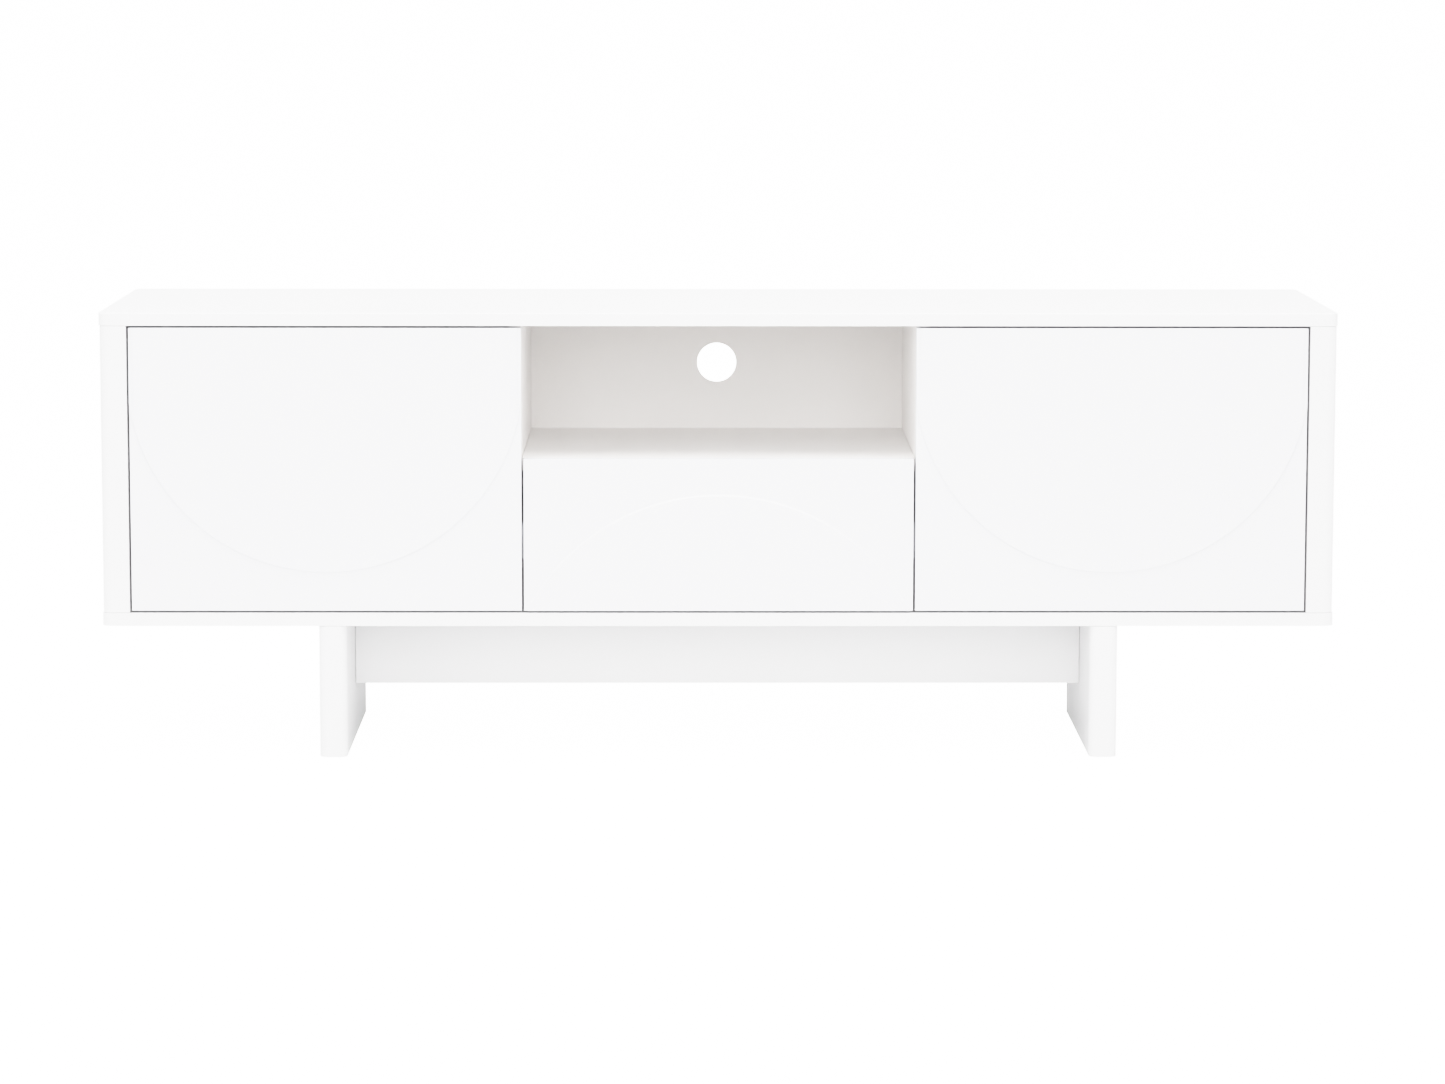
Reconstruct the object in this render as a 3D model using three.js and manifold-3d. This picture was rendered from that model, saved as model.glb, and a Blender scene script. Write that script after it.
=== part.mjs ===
// Low media cabinet: two hinged doors, an open niche over a drawer, two slab legs and a stretcher.
// Millimetres, +Z up, front towards -Y, origin on the floor under the middle of the cabinet.
import * as THREE from 'three';
import { mergeVertices } from 'three/addons/utils/BufferGeometryUtils.js';
import Module from 'manifold-3d';

const wasm = await Module();
wasm.setup();

// ---------------------------------------------------------------- driving dimensions

// Carcass
const WIDTH = 1500;
const DEPTH = 400;
const LEG_HEIGHT = 162;
const OPENING_HEIGHT = 350;
const SLAB_THICKNESS = 16;
const SIDE_THICKNESS = 33;
const SIDE_INSET = 1;
const CORNER_RADIUS = 12;
const PARTITION_THICKNESS = 16;
const NICHE_WIDTH = 478.6;
const NICHE_HEIGHT = 162;
const NICHE_SHELF_THICKNESS = 16;
const SEAM = 0.3;

// Back panels, held in grooves
const BACK_THICKNESS = 4;
const BACK_SETBACK = 20;
const GROOVE_DEPTH = 5;
const GROOVE_PLAY = 0.3;
const CABLE_HOLE_DIAMETER = 50;
const CABLE_HOLE_HEIGHT = 85;

// Legs and stretcher
const LEG_THICKNESS = 34;
const LEG_REAR_SETBACK = 50;
const LEG_INSET = 263;
const LEG_CORNER_RADIUS = 10;
const STRETCHER_THICKNESS = 34;
const STRETCHER_HEIGHT = 94;
const STRETCHER_SETBACK = 150;

// Door and drawer fronts, milled from one board with a raised field
const FRONT_THICKNESS = 18;
const RELIEF_STEP = 2;
const REVEAL = 2.4;
const FRONT_STANDOFF = 2.5;
const DOOR_ARC_FOOT = 47;
const DOOR_ARC_OVERSIZE = 2.8;
const DRAWER_ARCH_RISE = 142;
const DRAWER_ARCH_INSET = 3;

// Adjustable shelves behind the doors
const SHELF_THICKNESS = 16;
const SHELF_HEIGHT = 168;
const SHELF_SETBACK = 25;
const SHELF_PLAY = 1;
const SHELF_SEAT = 0.2;
const PIN_RADIUS = 2.5;
const PIN_SHANK = 8;
const PIN_COLLAR_RADIUS = 4;
const PIN_COLLAR = 1;
const PIN_HOLE_PLAY = 0.25;
const PIN_HOLE_PITCH = 32;
const PIN_EDGE_DISTANCE = 45;

// Single-pivot concealed door hinges
const HINGE_END_DISTANCE = 80;
const SWING_GAP = 0.85;
const CUP_BORE_RADIUS = 17.5;
const CUP_PLAY = 0.3;
const CUP_WALL = 1;
const CUP_FLOOR = 0.5;
const RIM_SLOPE = 0.5864;
const HINGE_PIN_RADIUS = 1.25;
const HINGE_PIN_PLAY = 0.25;
const KNUCKLE_RADIUS = 2.6;
const KNUCKLE_PLAY = 0.4;
const CHEEK_THICKNESS = 2.5;
const CHEEK_PLAY = 0.8;
const CHEEK_MARGIN = 1;
const ARM_HEIGHT = 12;
const ARM_THICKNESS = 3.6;
const NECK_ANGLE = THREE.MathUtils.degToRad(42.5);
const NECK_SHOULDER = 0.9;
const ARM_CLEARANCE = 8;
const ARM_BASE_THICKNESS = 10;
const ARM_BASE_LENGTH = 46;
const ARM_BASE_HEIGHT = 14;
const PLATE_THICKNESS = 2;
const PLATE_LENGTH = 50;
const PLATE_WING_LENGTH = 16;
const PLATE_WING_SPAN = 48;
const PLATE_HEIGHT = 18;
const EAR_SPAN = 54;
const EAR_WIDTH = 18;
const EAR_THICKNESS = 1.2;
const SCREW_HOLE_RADIUS = 2.2;
const SCREW_SPACING = 34;

// Push-to-open latches
const LATCH_INSET = 30;
const LATCH_AXIS_DROP = 11;
const LATCH_WIDTH = 16;
const LATCH_BODY_DROP = 6.5;
const LATCH_START = 8;
const LATCH_LENGTH = 38;
const LATCH_BORE_DEPTH = 27;
const LATCH_BORE_PLAY = 0.4;
const LATCH_FLANGE_WIDTH = 28;
const LATCH_FLANGE_LENGTH = 14;
const LATCH_FLANGE_THICKNESS = 2;
const PLUNGER_RADIUS = 4;
const PLUNGER_LENGTH = 28;
const PLUNGER_HEAD_RADIUS = 4.8;
const PLUNGER_HEAD_LENGTH = 2.5;
const STRIKE_RADIUS = 6;
const STRIKE_THICKNESS = 1.3;

// Drawer box and telescopic runners
const RUNNER_SPACE = 13;
const RUNNER_REAR_ROOM = 53.5;
const RUNNER_HEIGHT = 45;
const RUNNER_SHEET = 1.2;
const RUNNER_START = 2;
const BALL_TRACK = 0.7;
const DRAWER_BOARD = 12;
const DRAWER_BASE = 4;
const DRAWER_BASE_RAISE = 10;
const DRAWER_HEADROOM = 8;
const DRAWER_REAR_MARGIN = 1.8;

// Cuts run past a face by OVERCUT; round shapes are drawn with these counts of sides or steps
const OVERCUT = 1;
const PIN_SIDES = 12;
const SMALL_ROUND_SIDES = 16;
const ROUND_SIDES = 24;
const CUP_SIDES = 40;
const LARGE_ROUND_SIDES = 48;
const CORNER_SEGMENTS = 4;
const STRIP_STEPS = 28;

// ---------------------------------------------------------------- places that follow

const bottomUnder = LEG_HEIGHT;
const bottomTop = bottomUnder + SLAB_THICKNESS;
const topUnder = bottomTop + OPENING_HEIGHT;
const topTop = topUnder + SLAB_THICKNESS;
const frontY = -DEPTH / 2;
const rearY = DEPTH / 2;
const sideOuter = WIDTH / 2 - SIDE_INSET;
const sideInner = sideOuter - SIDE_THICKNESS;
const nicheHalf = NICHE_WIDTH / 2;
const partitionOuter = nicheHalf + PARTITION_THICKNESS;
const frontBackY = frontY + FRONT_THICKNESS;
const boardFrontY = frontBackY + FRONT_STANDOFF;
const backPanelRear = rearY - BACK_SETBACK;
const backPanelFront = backPanelRear - BACK_THICKNESS;
const shelfTop = topUnder - NICHE_HEIGHT;
const shelfUnder = shelfTop - NICHE_SHELF_THICKNESS;
const doorInner = nicheHalf;
const doorOuter = sideInner - REVEAL;
const frontFoot = bottomTop + REVEAL;
const doorHead = topUnder - REVEAL;
const drawerHalf = nicheHalf - REVEAL;
const drawerHead = shelfTop;
const cupOuter = CUP_BORE_RADIUS - CUP_PLAY;
const cupInner = cupOuter - CUP_WALL;
// The pivot lies below the cup's rim at an even slope, so that the arm clears the rim open and shut.
const pivotDepth = cupInner * RIM_SLOPE;
const pivotBehindFace = FRONT_THICKNESS - pivotDepth;
// The door's front corner swings out past its edge by this much and no more.
const cornerSwing = REVEAL - SWING_GAP;
const cupEdge = (pivotBehindFace ** 2 / cornerSwing - cornerSwing) / 2;
const pivotX = doorOuter - cupEdge;
const pivotY = frontBackY - pivotDepth;
const hingeHeights = { upper: doorHead - HINGE_END_DISTANCE, lower: frontFoot + HINGE_END_DISTANCE };
const legOuter = WIDTH / 2 - LEG_INSET;
const legInner = legOuter - LEG_THICKNESS;

// ---------------------------------------------------------------- materials

function finish(color, roughness, metalness = 0) {
  return new THREE.MeshStandardMaterial({ color, roughness, metalness });
}

const lacquer = finish(0xf4f3f1, 0.45);
const frontLacquer = finish(0xf6f5f4, 0.42);
const melamine = finish(0xeeedea, 0.55);
const hardboard = finish(0xe6e3df, 0.6);
const nickel = finish(0xb9b9b6, 0.28, 1);
const zinc = finish(0xa9adb0, 0.36, 1);
const greyPlastic = finish(0xcfcfcd, 0.5);
const darkPlastic = finish(0x6e6f70, 0.55);

// ---------------------------------------------------------------- shape helpers

// A closed surface as a solid: shared corners merged, empty triangles dropped.
function solidOf(geometry) {
  const bare = geometry.clone();
  bare.deleteAttribute('normal');
  bare.deleteAttribute('uv');
  const merged = mergeVertices(bare, 1e-4);
  const index = merged.index.array;
  const kept = [];
  for (let i = 0; i < index.length; i += 3) {
    const [a, b, c] = [index[i], index[i + 1], index[i + 2]];
    if (a !== b && b !== c && c !== a) kept.push(a, b, c);
  }
  const vertProperties = merged.attributes.position.array;
  const triVerts = Uint32Array.from(kept);
  return new wasm.Manifold(new wasm.Mesh({ numProp: 3, vertProperties, triVerts }));
}

function geometryOf(solid) {
  const mesh = solid.getMesh();
  const geometry = new THREE.BufferGeometry();
  geometry.setAttribute('position', new THREE.BufferAttribute(mesh.vertProperties, 3));
  geometry.setIndex(new THREE.BufferAttribute(mesh.triVerts, 1));
  geometry.computeVertexNormals();
  return geometry;
}

// A base with pieces added to it and pieces cut from it.
function shaped(base, { add = [], cut = [] } = {}) {
  let solid = solidOf(base);
  for (const piece of add) solid = solid.add(solidOf(piece));
  for (const piece of cut) solid = solid.subtract(solidOf(piece));
  return geometryOf(solid);
}

function mirroredX(geometry) {
  const copy = geometry.clone();
  copy.scale(-1, 1, 1);
  const index = copy.index.array;
  for (let i = 0; i < index.length; i += 3) {
    [index[i + 1], index[i + 2]] = [index[i + 2], index[i + 1]];
  }
  copy.computeVertexNormals();
  return copy;
}

function box(x0, x1, y0, y1, z0, z1) {
  const geometry = new THREE.BoxGeometry(x1 - x0, y1 - y0, z1 - z0);
  geometry.translate((x0 + x1) / 2, (y0 + y1) / 2, (z0 + z1) / 2);
  return geometry;
}

// A cylinder about a line through (x, y, z), reaching from one end to the other along that axis.
function rodX(radius, x0, x1, y, z, sides = ROUND_SIDES) {
  const geometry = new THREE.CylinderGeometry(radius, radius, x1 - x0, sides);
  geometry.rotateZ(Math.PI / 2);
  geometry.translate((x0 + x1) / 2, y, z);
  return geometry;
}

function rodY(radius, y0, y1, x, z, sides = ROUND_SIDES) {
  const geometry = new THREE.CylinderGeometry(radius, radius, y1 - y0, sides);
  geometry.translate(x, (y0 + y1) / 2, z);
  return geometry;
}

function rodZ(radius, z0, z1, x, y, sides = ROUND_SIDES) {
  const geometry = new THREE.CylinderGeometry(radius, radius, z1 - z0, sides);
  geometry.rotateX(Math.PI / 2);
  geometry.translate(x, y, (z0 + z1) / 2);
  return geometry;
}

// A plan outline with its own radius at each corner, raised from z0 to z1.
// radii: front left, front right, rear right, rear left.
function plinth(x0, x1, y0, y1, z0, z1, radii) {
  const [fl, fr, rr, rl] = radii;
  const outline = new THREE.Shape();
  outline.moveTo(x0 + fl, y0);
  outline.lineTo(x1 - fr, y0);
  if (fr > 0) outline.absarc(x1 - fr, y0 + fr, fr, -Math.PI / 2, 0);
  outline.lineTo(x1, y1 - rr);
  if (rr > 0) outline.absarc(x1 - rr, y1 - rr, rr, 0, Math.PI / 2);
  outline.lineTo(x0 + rl, y1);
  if (rl > 0) outline.absarc(x0 + rl, y1 - rl, rl, Math.PI / 2, Math.PI);
  outline.lineTo(x0, y0 + fl);
  if (fl > 0) outline.absarc(x0 + fl, y0 + fl, fl, Math.PI, 1.5 * Math.PI);
  const geometry = new THREE.ExtrudeGeometry(outline, {
    depth: z1 - z0,
    bevelEnabled: false,
    curveSegments: CORNER_SEGMENTS,
  });
  geometry.translate(0, 0, z0);
  return geometry;
}

// An outline drawn in X and Z, run from y0 to y1.
function extrudeY(outline, y0, y1, curveSegments = ROUND_SIDES) {
  const geometry = new THREE.ExtrudeGeometry(outline, {
    depth: y1 - y0,
    bevelEnabled: false,
    curveSegments,
  });
  geometry.rotateX(Math.PI / 2);
  geometry.translate(0, y1, 0);
  return geometry;
}

function polygon(points) {
  return new THREE.Shape(points.map(([x, y]) => new THREE.Vector2(x, y)));
}

// A profile of radius and height pairs, turned about the Y axis.
function lathed(profile, sides) {
  return new THREE.LatheGeometry(
    profile.map(([r, y]) => new THREE.Vector2(r, y)),
    sides,
  );
}

const furniture = new THREE.Group();

function place(parent, name, geometry, material, x = 0, y = 0, z = 0) {
  const mesh = new THREE.Mesh(geometry, material);
  mesh.name = name;
  mesh.position.set(x, y, z);
  parent.add(mesh);
}

// The left piece as drawn about its own place, and its mirror image on the right.
function placePair(parent, name, geometry, material, x = 0, y = 0, z = 0) {
  place(parent, `left_${name}`, geometry, material, x, y, z);
  place(parent, `right_${name}`, mirroredX(geometry), material, -x, y, z);
}

// ---------------------------------------------------------------- carcass boards

// The slot that a back panel's edge sits in, across a board's face.
function backGroove(x0, x1, z0, z1) {
  return box(x0, x1, backPanelFront - GROOVE_PLAY, backPanelRear + GROOVE_PLAY, z0, z1);
}

// The three grooves along a slab's inner face, one for each back panel.
function slabGrooves(z0, z1) {
  const reach = GROOVE_DEPTH;
  return [
    backGroove(-sideInner - reach, -partitionOuter + reach, z0, z1),
    backGroove(-nicheHalf - reach, nicheHalf + reach, z0, z1),
    backGroove(partitionOuter - reach, sideInner + reach, z0, z1),
  ];
}

function slab(z0, z1, grooves) {
  const corners = Array(4).fill(CORNER_RADIUS);
  const outline = plinth(-WIDTH / 2, WIDTH / 2, frontY, rearY, z0, z1, corners);
  return shaped(outline, { cut: grooves });
}

// Y places of the two pin-hole columns, and Z places of the holes in each.
const pinColumns = [
  boardFrontY + SHELF_SETBACK + PIN_EDGE_DISTANCE,
  backPanelFront - SHELF_PLAY - PIN_EDGE_DISTANCE,
];
const pinLevel = bottomTop + SHELF_HEIGHT - PIN_RADIUS - SHELF_SEAT;
const pinHoleLevels = [pinLevel - PIN_HOLE_PITCH, pinLevel, pinLevel + PIN_HOLE_PITCH];

function pinHoles(x0, x1) {
  const holes = [];
  for (const y of pinColumns) {
    for (const z of pinHoleLevels) {
      holes.push(rodX(PIN_RADIUS + PIN_HOLE_PLAY, x0, x1, y, z, PIN_SIDES));
    }
  }
  return holes;
}

const pinHoleDepth = PIN_SHANK + SEAM;

function leftSide() {
  const x0 = -sideOuter;
  const x1 = -sideInner;
  const r = CORNER_RADIUS;
  const board = plinth(x0, x1, frontY, rearY, bottomTop + SEAM, topUnder - SEAM, [r, 0, 0, r]);
  const groove = backGroove(x1 - GROOVE_DEPTH, x1 + OVERCUT, bottomTop, topUnder);
  return shaped(board, { cut: [groove, ...pinHoles(x1 - pinHoleDepth, x1 + OVERCUT)] });
}

function leftPartition() {
  const x0 = -partitionOuter;
  const x1 = -nicheHalf;
  const board = box(x0, x1, boardFrontY, rearY, bottomTop + SEAM, topUnder - SEAM);
  const grooves = [
    backGroove(x0 - OVERCUT, x0 + GROOVE_DEPTH, bottomTop, topUnder),
    backGroove(x1 - GROOVE_DEPTH, x1 + OVERCUT, bottomTop, topUnder),
  ];
  return shaped(board, { cut: [...grooves, ...pinHoles(x0 - OVERCUT, x0 + pinHoleDepth)] });
}

// A back panel reaches into the grooves on all four sides.
function backPanel(x0, x1) {
  const tongue = GROOVE_DEPTH - GROOVE_PLAY;
  return box(
    x0 - tongue,
    x1 + tongue,
    backPanelFront,
    backPanelRear,
    bottomTop - tongue,
    topUnder + tongue,
  );
}

function centerBackPanel() {
  const radius = CABLE_HOLE_DIAMETER / 2;
  const y0 = backPanelFront - OVERCUT;
  const y1 = backPanelRear + OVERCUT;
  const hole = rodY(radius, y0, y1, 0, shelfTop + CABLE_HOLE_HEIGHT, LARGE_ROUND_SIDES);
  return shaped(backPanel(-nicheHalf, nicheHalf), { cut: [hole] });
}

function nicheShelf() {
  const reach = nicheHalf - SEAM;
  const y1 = backPanelFront - SEAM;
  return shaped(box(-reach, reach, boardFrontY, y1, shelfUnder, shelfTop));
}

const carcass = new THREE.Group();
furniture.add(carcass);
place(
  carcass,
  'top_panel',
  slab(topUnder, topTop, slabGrooves(topUnder - OVERCUT, topUnder + GROOVE_DEPTH)),
  lacquer,
);
place(
  carcass,
  'bottom_panel',
  slab(bottomUnder, bottomTop, slabGrooves(bottomTop - GROOVE_DEPTH, bottomTop + OVERCUT)),
  lacquer,
);
placePair(carcass, 'side', leftSide(), lacquer);
placePair(carcass, 'partition', leftPartition(), melamine);
place(carcass, 'niche_shelf', nicheShelf(), melamine);
placePair(carcass, 'back_panel', shaped(backPanel(-sideInner, -partitionOuter)), hardboard);
place(carcass, 'center_back_panel', centerBackPanel(), hardboard);

// ---------------------------------------------------------------- shelves behind the doors

function compartmentShelf() {
  const x0 = -sideInner + SHELF_PLAY + PIN_COLLAR;
  const x1 = -partitionOuter - SHELF_PLAY - PIN_COLLAR;
  const y0 = boardFrontY + SHELF_SETBACK;
  const y1 = backPanelFront - SHELF_PLAY;
  const z0 = bottomTop + SHELF_HEIGHT;
  return shaped(box(x0, x1, y0, y1, z0, z0 + SHELF_THICKNESS));
}

// A turned pin about the X axis: the shank in the board, a collar on its face, the stub outside.
// The board's face is at x = 0 and the stub points towards +X.
function shelfPin() {
  const collarStart = SEAM / 2;
  const collarEnd = collarStart + PIN_COLLAR;
  const profile = [
    [0, -PIN_SHANK],
    [PIN_RADIUS, -PIN_SHANK],
    [PIN_RADIUS, collarStart],
    [PIN_COLLAR_RADIUS, collarStart],
    [PIN_COLLAR_RADIUS, collarEnd],
    [PIN_RADIUS, collarEnd],
    [PIN_RADIUS, PIN_SHANK],
    [0, PIN_SHANK],
  ];
  const turned = lathed(profile, PIN_SIDES);
  turned.rotateZ(-Math.PI / 2);
  return shaped(turned);
}

const shelving = new THREE.Group();
furniture.add(shelving);
placePair(shelving, 'shelf', compartmentShelf(), melamine);
const outerPin = shelfPin();
const innerPin = mirroredX(outerPin);
for (const [column, y] of pinColumns.entries()) {
  const end = column === 0 ? 'front' : 'rear';
  placePair(shelving, `outer_${end}_shelf_pin`, outerPin, nickel, -sideInner, y, pinLevel);
  placePair(shelving, `inner_${end}_shelf_pin`, innerPin, nickel, -partitionOuter, y, pinLevel);
}

// ---------------------------------------------------------------- legs and stretcher

function leg() {
  const corners = Array(4).fill(LEG_CORNER_RADIUS);
  const y1 = rearY - LEG_REAR_SETBACK;
  return shaped(plinth(-legOuter, -legInner, frontY, y1, 0, LEG_HEIGHT - SEAM, corners));
}

function stretcher() {
  const reach = legInner - SEAM;
  const y0 = frontY + STRETCHER_SETBACK;
  const z0 = LEG_HEIGHT - STRETCHER_HEIGHT;
  return shaped(box(-reach, reach, y0, y0 + STRETCHER_THICKNESS, z0, LEG_HEIGHT - SEAM));
}

const base = new THREE.Group();
furniture.add(base);
placePair(base, 'leg', leg(), lacquer);
place(base, 'stretcher', stretcher(), lacquer);

// ---------------------------------------------------------------- door and drawer fronts

// The raised field of a door: everything above a large arc that hangs below the top edge.
function doorField(x0, x1) {
  const radius = (x1 - x0) / 2 + DOOR_ARC_OVERSIZE;
  const middle = (x0 + x1) / 2;
  const springing = frontFoot + DOOR_ARC_FOOT + radius;
  const outline = new THREE.Shape();
  outline.moveTo(middle - radius, springing);
  outline.absarc(middle, springing, radius, Math.PI, 2 * Math.PI);
  const top = Math.max(doorHead, springing) + OVERCUT;
  outline.lineTo(middle + radius, top);
  outline.lineTo(middle - radius, top);
  return extrudeY(outline, frontY - OVERCUT, frontY + RELIEF_STEP);
}

// The raised field of the drawer: everything under an arch that stands on the bottom edge.
function drawerField() {
  const half = drawerHalf - DRAWER_ARCH_INSET;
  const radius = (half * half + DRAWER_ARCH_RISE * DRAWER_ARCH_RISE) / (2 * DRAWER_ARCH_RISE);
  const centre = frontFoot + DRAWER_ARCH_RISE - radius;
  const spread = Math.acos((frontFoot - centre) / radius);
  const outline = new THREE.Shape();
  outline.absarc(0, centre, radius, Math.PI / 2 - spread, Math.PI / 2 + spread);
  outline.lineTo(-half, frontFoot - OVERCUT);
  outline.lineTo(half, frontFoot - OVERCUT);
  return extrudeY(outline, frontY - OVERCUT, frontY + RELIEF_STEP);
}

// A front board with the step milled away outside its raised field.
function milledFront(x0, x1, z0, z1, field, cuts) {
  const board = solidOf(box(x0, x1, frontY, frontBackY, z0, z1));
  const c = OVERCUT;
  const skin = solidOf(box(x0 - c, x1 + c, frontY - c, frontY + RELIEF_STEP, z0 - c, z1 + c));
  let front = board.subtract(skin.subtract(solidOf(field)));
  for (const piece of cuts) front = front.subtract(solidOf(piece));
  return geometryOf(front);
}

const cupDepth = pivotDepth + KNUCKLE_RADIUS + KNUCKLE_PLAY + CUP_FLOOR;

function leftDoor() {
  const y0 = frontBackY - cupDepth - CUP_PLAY;
  const y1 = frontBackY + OVERCUT;
  const bores = Object.values(hingeHeights).map((z) =>
    rodY(CUP_BORE_RADIUS, y0, y1, -pivotX, z, CUP_SIDES),
  );
  const field = doorField(-doorOuter, -doorInner);
  return milledFront(-doorOuter, -doorInner, frontFoot, doorHead, field, bores);
}

const doors = new THREE.Group();
furniture.add(doors);
placePair(doors, 'door', leftDoor(), frontLacquer);

// ---------------------------------------------------------------- hinges
// Each is drawn about its pivot: X towards the door's free edge, Y towards the back of the cabinet.

const cheekInner = ARM_HEIGHT / 2 + CHEEK_PLAY;
const cheekOuter = cheekInner + CHEEK_THICKNESS;
const pinHoleRadius = HINGE_PIN_RADIUS + HINGE_PIN_PLAY;

function hingeCup() {
  const rim = pivotDepth;
  const earUnder = rim + CUP_PLAY;
  const earTop = earUnder + EAR_THICKNESS;
  const floorUnder = rim - cupDepth;
  const floorTop = floorUnder + CUP_FLOOR;
  const profile = [
    [0, floorUnder],
    [cupOuter, floorUnder],
    [cupOuter, earTop],
    [cupInner, earTop],
    [cupInner, floorTop],
    [0, floorTop],
  ];
  const pot = lathed(profile, CUP_SIDES);
  const halfEar = EAR_WIDTH / 2;
  const earRoot = cupInner - CUP_WALL;
  const added = [];
  const cuts = [
    box(halfEar, cupOuter + OVERCUT, rim, earTop + OVERCUT, -cupOuter, cupOuter),
    box(-cupOuter - OVERCUT, -halfEar, rim, earTop + OVERCUT, -cupOuter, cupOuter),
    rodZ(pinHoleRadius, -cheekOuter - OVERCUT, cheekOuter + OVERCUT, 0, 0),
  ];
  for (const end of [-1, 1]) {
    const [e0, e1] = [end * earRoot, (end * EAR_SPAN) / 2].sort((a, b) => a - b);
    added.push(box(-halfEar, halfEar, earUnder, earTop, e0, e1));
    const [c0, c1] = [end * cheekInner, end * cheekOuter].sort((a, b) => a - b);
    const halfCheek = KNUCKLE_RADIUS + CHEEK_MARGIN;
    added.push(box(-halfCheek, halfCheek, floorTop - CUP_FLOOR / 2, halfCheek, c0, c1));
    const screwZ = end * (EAR_SPAN / 2 - SCREW_HOLE_RADIUS * 2);
    const [s0, s1] = [earUnder - OVERCUT, earTop + OVERCUT];
    cuts.push(rodY(SCREW_HOLE_RADIUS, s0, s1, 0, screwZ, SMALL_ROUND_SIDES));
  }
  return shaped(pot, { add: added, cut: cuts });
}

const sideFace = -cupEdge - REVEAL;
const plateFace = sideFace + SEAM + PLATE_THICKNESS;
const armFace = plateFace + SEAM;
const sweepRadius = Math.hypot(cupEdge, Math.max(pivotDepth, pivotBehindFace));
const crossing = sweepRadius + ARM_CLEARANCE;
const armStart = crossing + ARM_THICKNESS / 2;
const plateStart = armStart;

// A strip of even thickness along a smooth line through the given points.
function bentStrip(points, thickness, height) {
  const line = new THREE.SplineCurve(points.map(([x, y]) => new THREE.Vector2(x, y)));
  const left = [];
  const right = [];
  for (let i = 0; i <= STRIP_STEPS; i += 1) {
    const at = line.getPoint(i / STRIP_STEPS);
    const along = line.getTangent(i / STRIP_STEPS);
    const out = new THREE.Vector2(-along.y, along.x).multiplyScalar(thickness / 2);
    left.push(at.clone().add(out));
    right.unshift(at.clone().sub(out));
  }
  const strip = new THREE.ExtrudeGeometry(new THREE.Shape([...right, ...left].reverse()), {
    depth: height,
    bevelEnabled: false,
  });
  strip.translate(0, 0, -height / 2);
  return strip;
}

// The neck leaves the cup between its closed and open rim, then passes behind the door's edge.
function hingeArm() {
  const reach = sweepRadius + ARM_THICKNESS / 2;
  const neckX = reach * Math.cos(NECK_ANGLE);
  const neckY = reach * Math.sin(NECK_ANGLE);
  const neck = [
    [0, 0],
    [neckX / 2, neckY / 2],
    [neckX * NECK_SHOULDER, neckY * NECK_SHOULDER],
    [neckX, neckY],
    [neckX + ARM_THICKNESS / 2, crossing - ARM_CLEARANCE],
    [neckX - ARM_THICKNESS, crossing],
    [0, crossing + ARM_THICKNESS],
    [armFace + ARM_BASE_THICKNESS, armStart + ARM_THICKNESS],
    [armFace + ARM_BASE_THICKNESS / 2, armStart + ARM_BASE_THICKNESS],
  ];
  const foot = box(
    armFace,
    armFace + ARM_BASE_THICKNESS,
    armStart,
    armStart + ARM_BASE_LENGTH,
    -ARM_BASE_HEIGHT / 2,
    ARM_BASE_HEIGHT / 2,
  );
  const strip = bentStrip(neck, ARM_THICKNESS, ARM_HEIGHT);
  const knuckle = rodZ(KNUCKLE_RADIUS, -ARM_HEIGHT / 2, ARM_HEIGHT / 2, 0, 0);
  const hole = rodZ(pinHoleRadius, -ARM_HEIGHT, ARM_HEIGHT, 0, 0);
  return shaped(strip, { add: [knuckle, foot], cut: [hole] });
}

function hingePlate() {
  const x0 = sideFace + SEAM;
  const wingY = plateStart + (PLATE_LENGTH - PLATE_WING_LENGTH) / 2;
  const halfSpine = PLATE_HEIGHT / 2;
  const halfWing = PLATE_WING_SPAN / 2;
  const spine = box(x0, plateFace, plateStart, plateStart + PLATE_LENGTH, -halfSpine, halfSpine);
  const wing = box(x0, plateFace, wingY, wingY + PLATE_WING_LENGTH, -halfWing, halfWing);
  const screwY = wingY + PLATE_WING_LENGTH / 2;
  const [s0, s1] = [x0 - OVERCUT, plateFace + OVERCUT];
  const holes = [-1, 1].map((end) =>
    rodX(SCREW_HOLE_RADIUS, s0, s1, screwY, (end * SCREW_SPACING) / 2, SMALL_ROUND_SIDES),
  );
  return shaped(spine, { add: [wing], cut: holes });
}

const hinges = new THREE.Group();
furniture.add(hinges);
const cup = hingeCup();
const hingePin = shaped(rodZ(HINGE_PIN_RADIUS, -cheekOuter, cheekOuter, 0, 0));
const arm = hingeArm();
const plate = hingePlate();
for (const [level, z] of Object.entries(hingeHeights)) {
  placePair(hinges, `${level}_hinge_cup`, cup, nickel, -pivotX, pivotY, z);
  placePair(hinges, `${level}_hinge_pin`, hingePin, nickel, -pivotX, pivotY, z);
  placePair(hinges, `${level}_hinge_arm`, arm, nickel, -pivotX, pivotY, z);
  placePair(hinges, `${level}_hinge_plate`, plate, nickel, -pivotX, pivotY, z);
}

// ---------------------------------------------------------------- push-to-open latches
// Each is drawn about the plunger's tip: Y into the housing, Z up to the board it hangs from.

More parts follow.
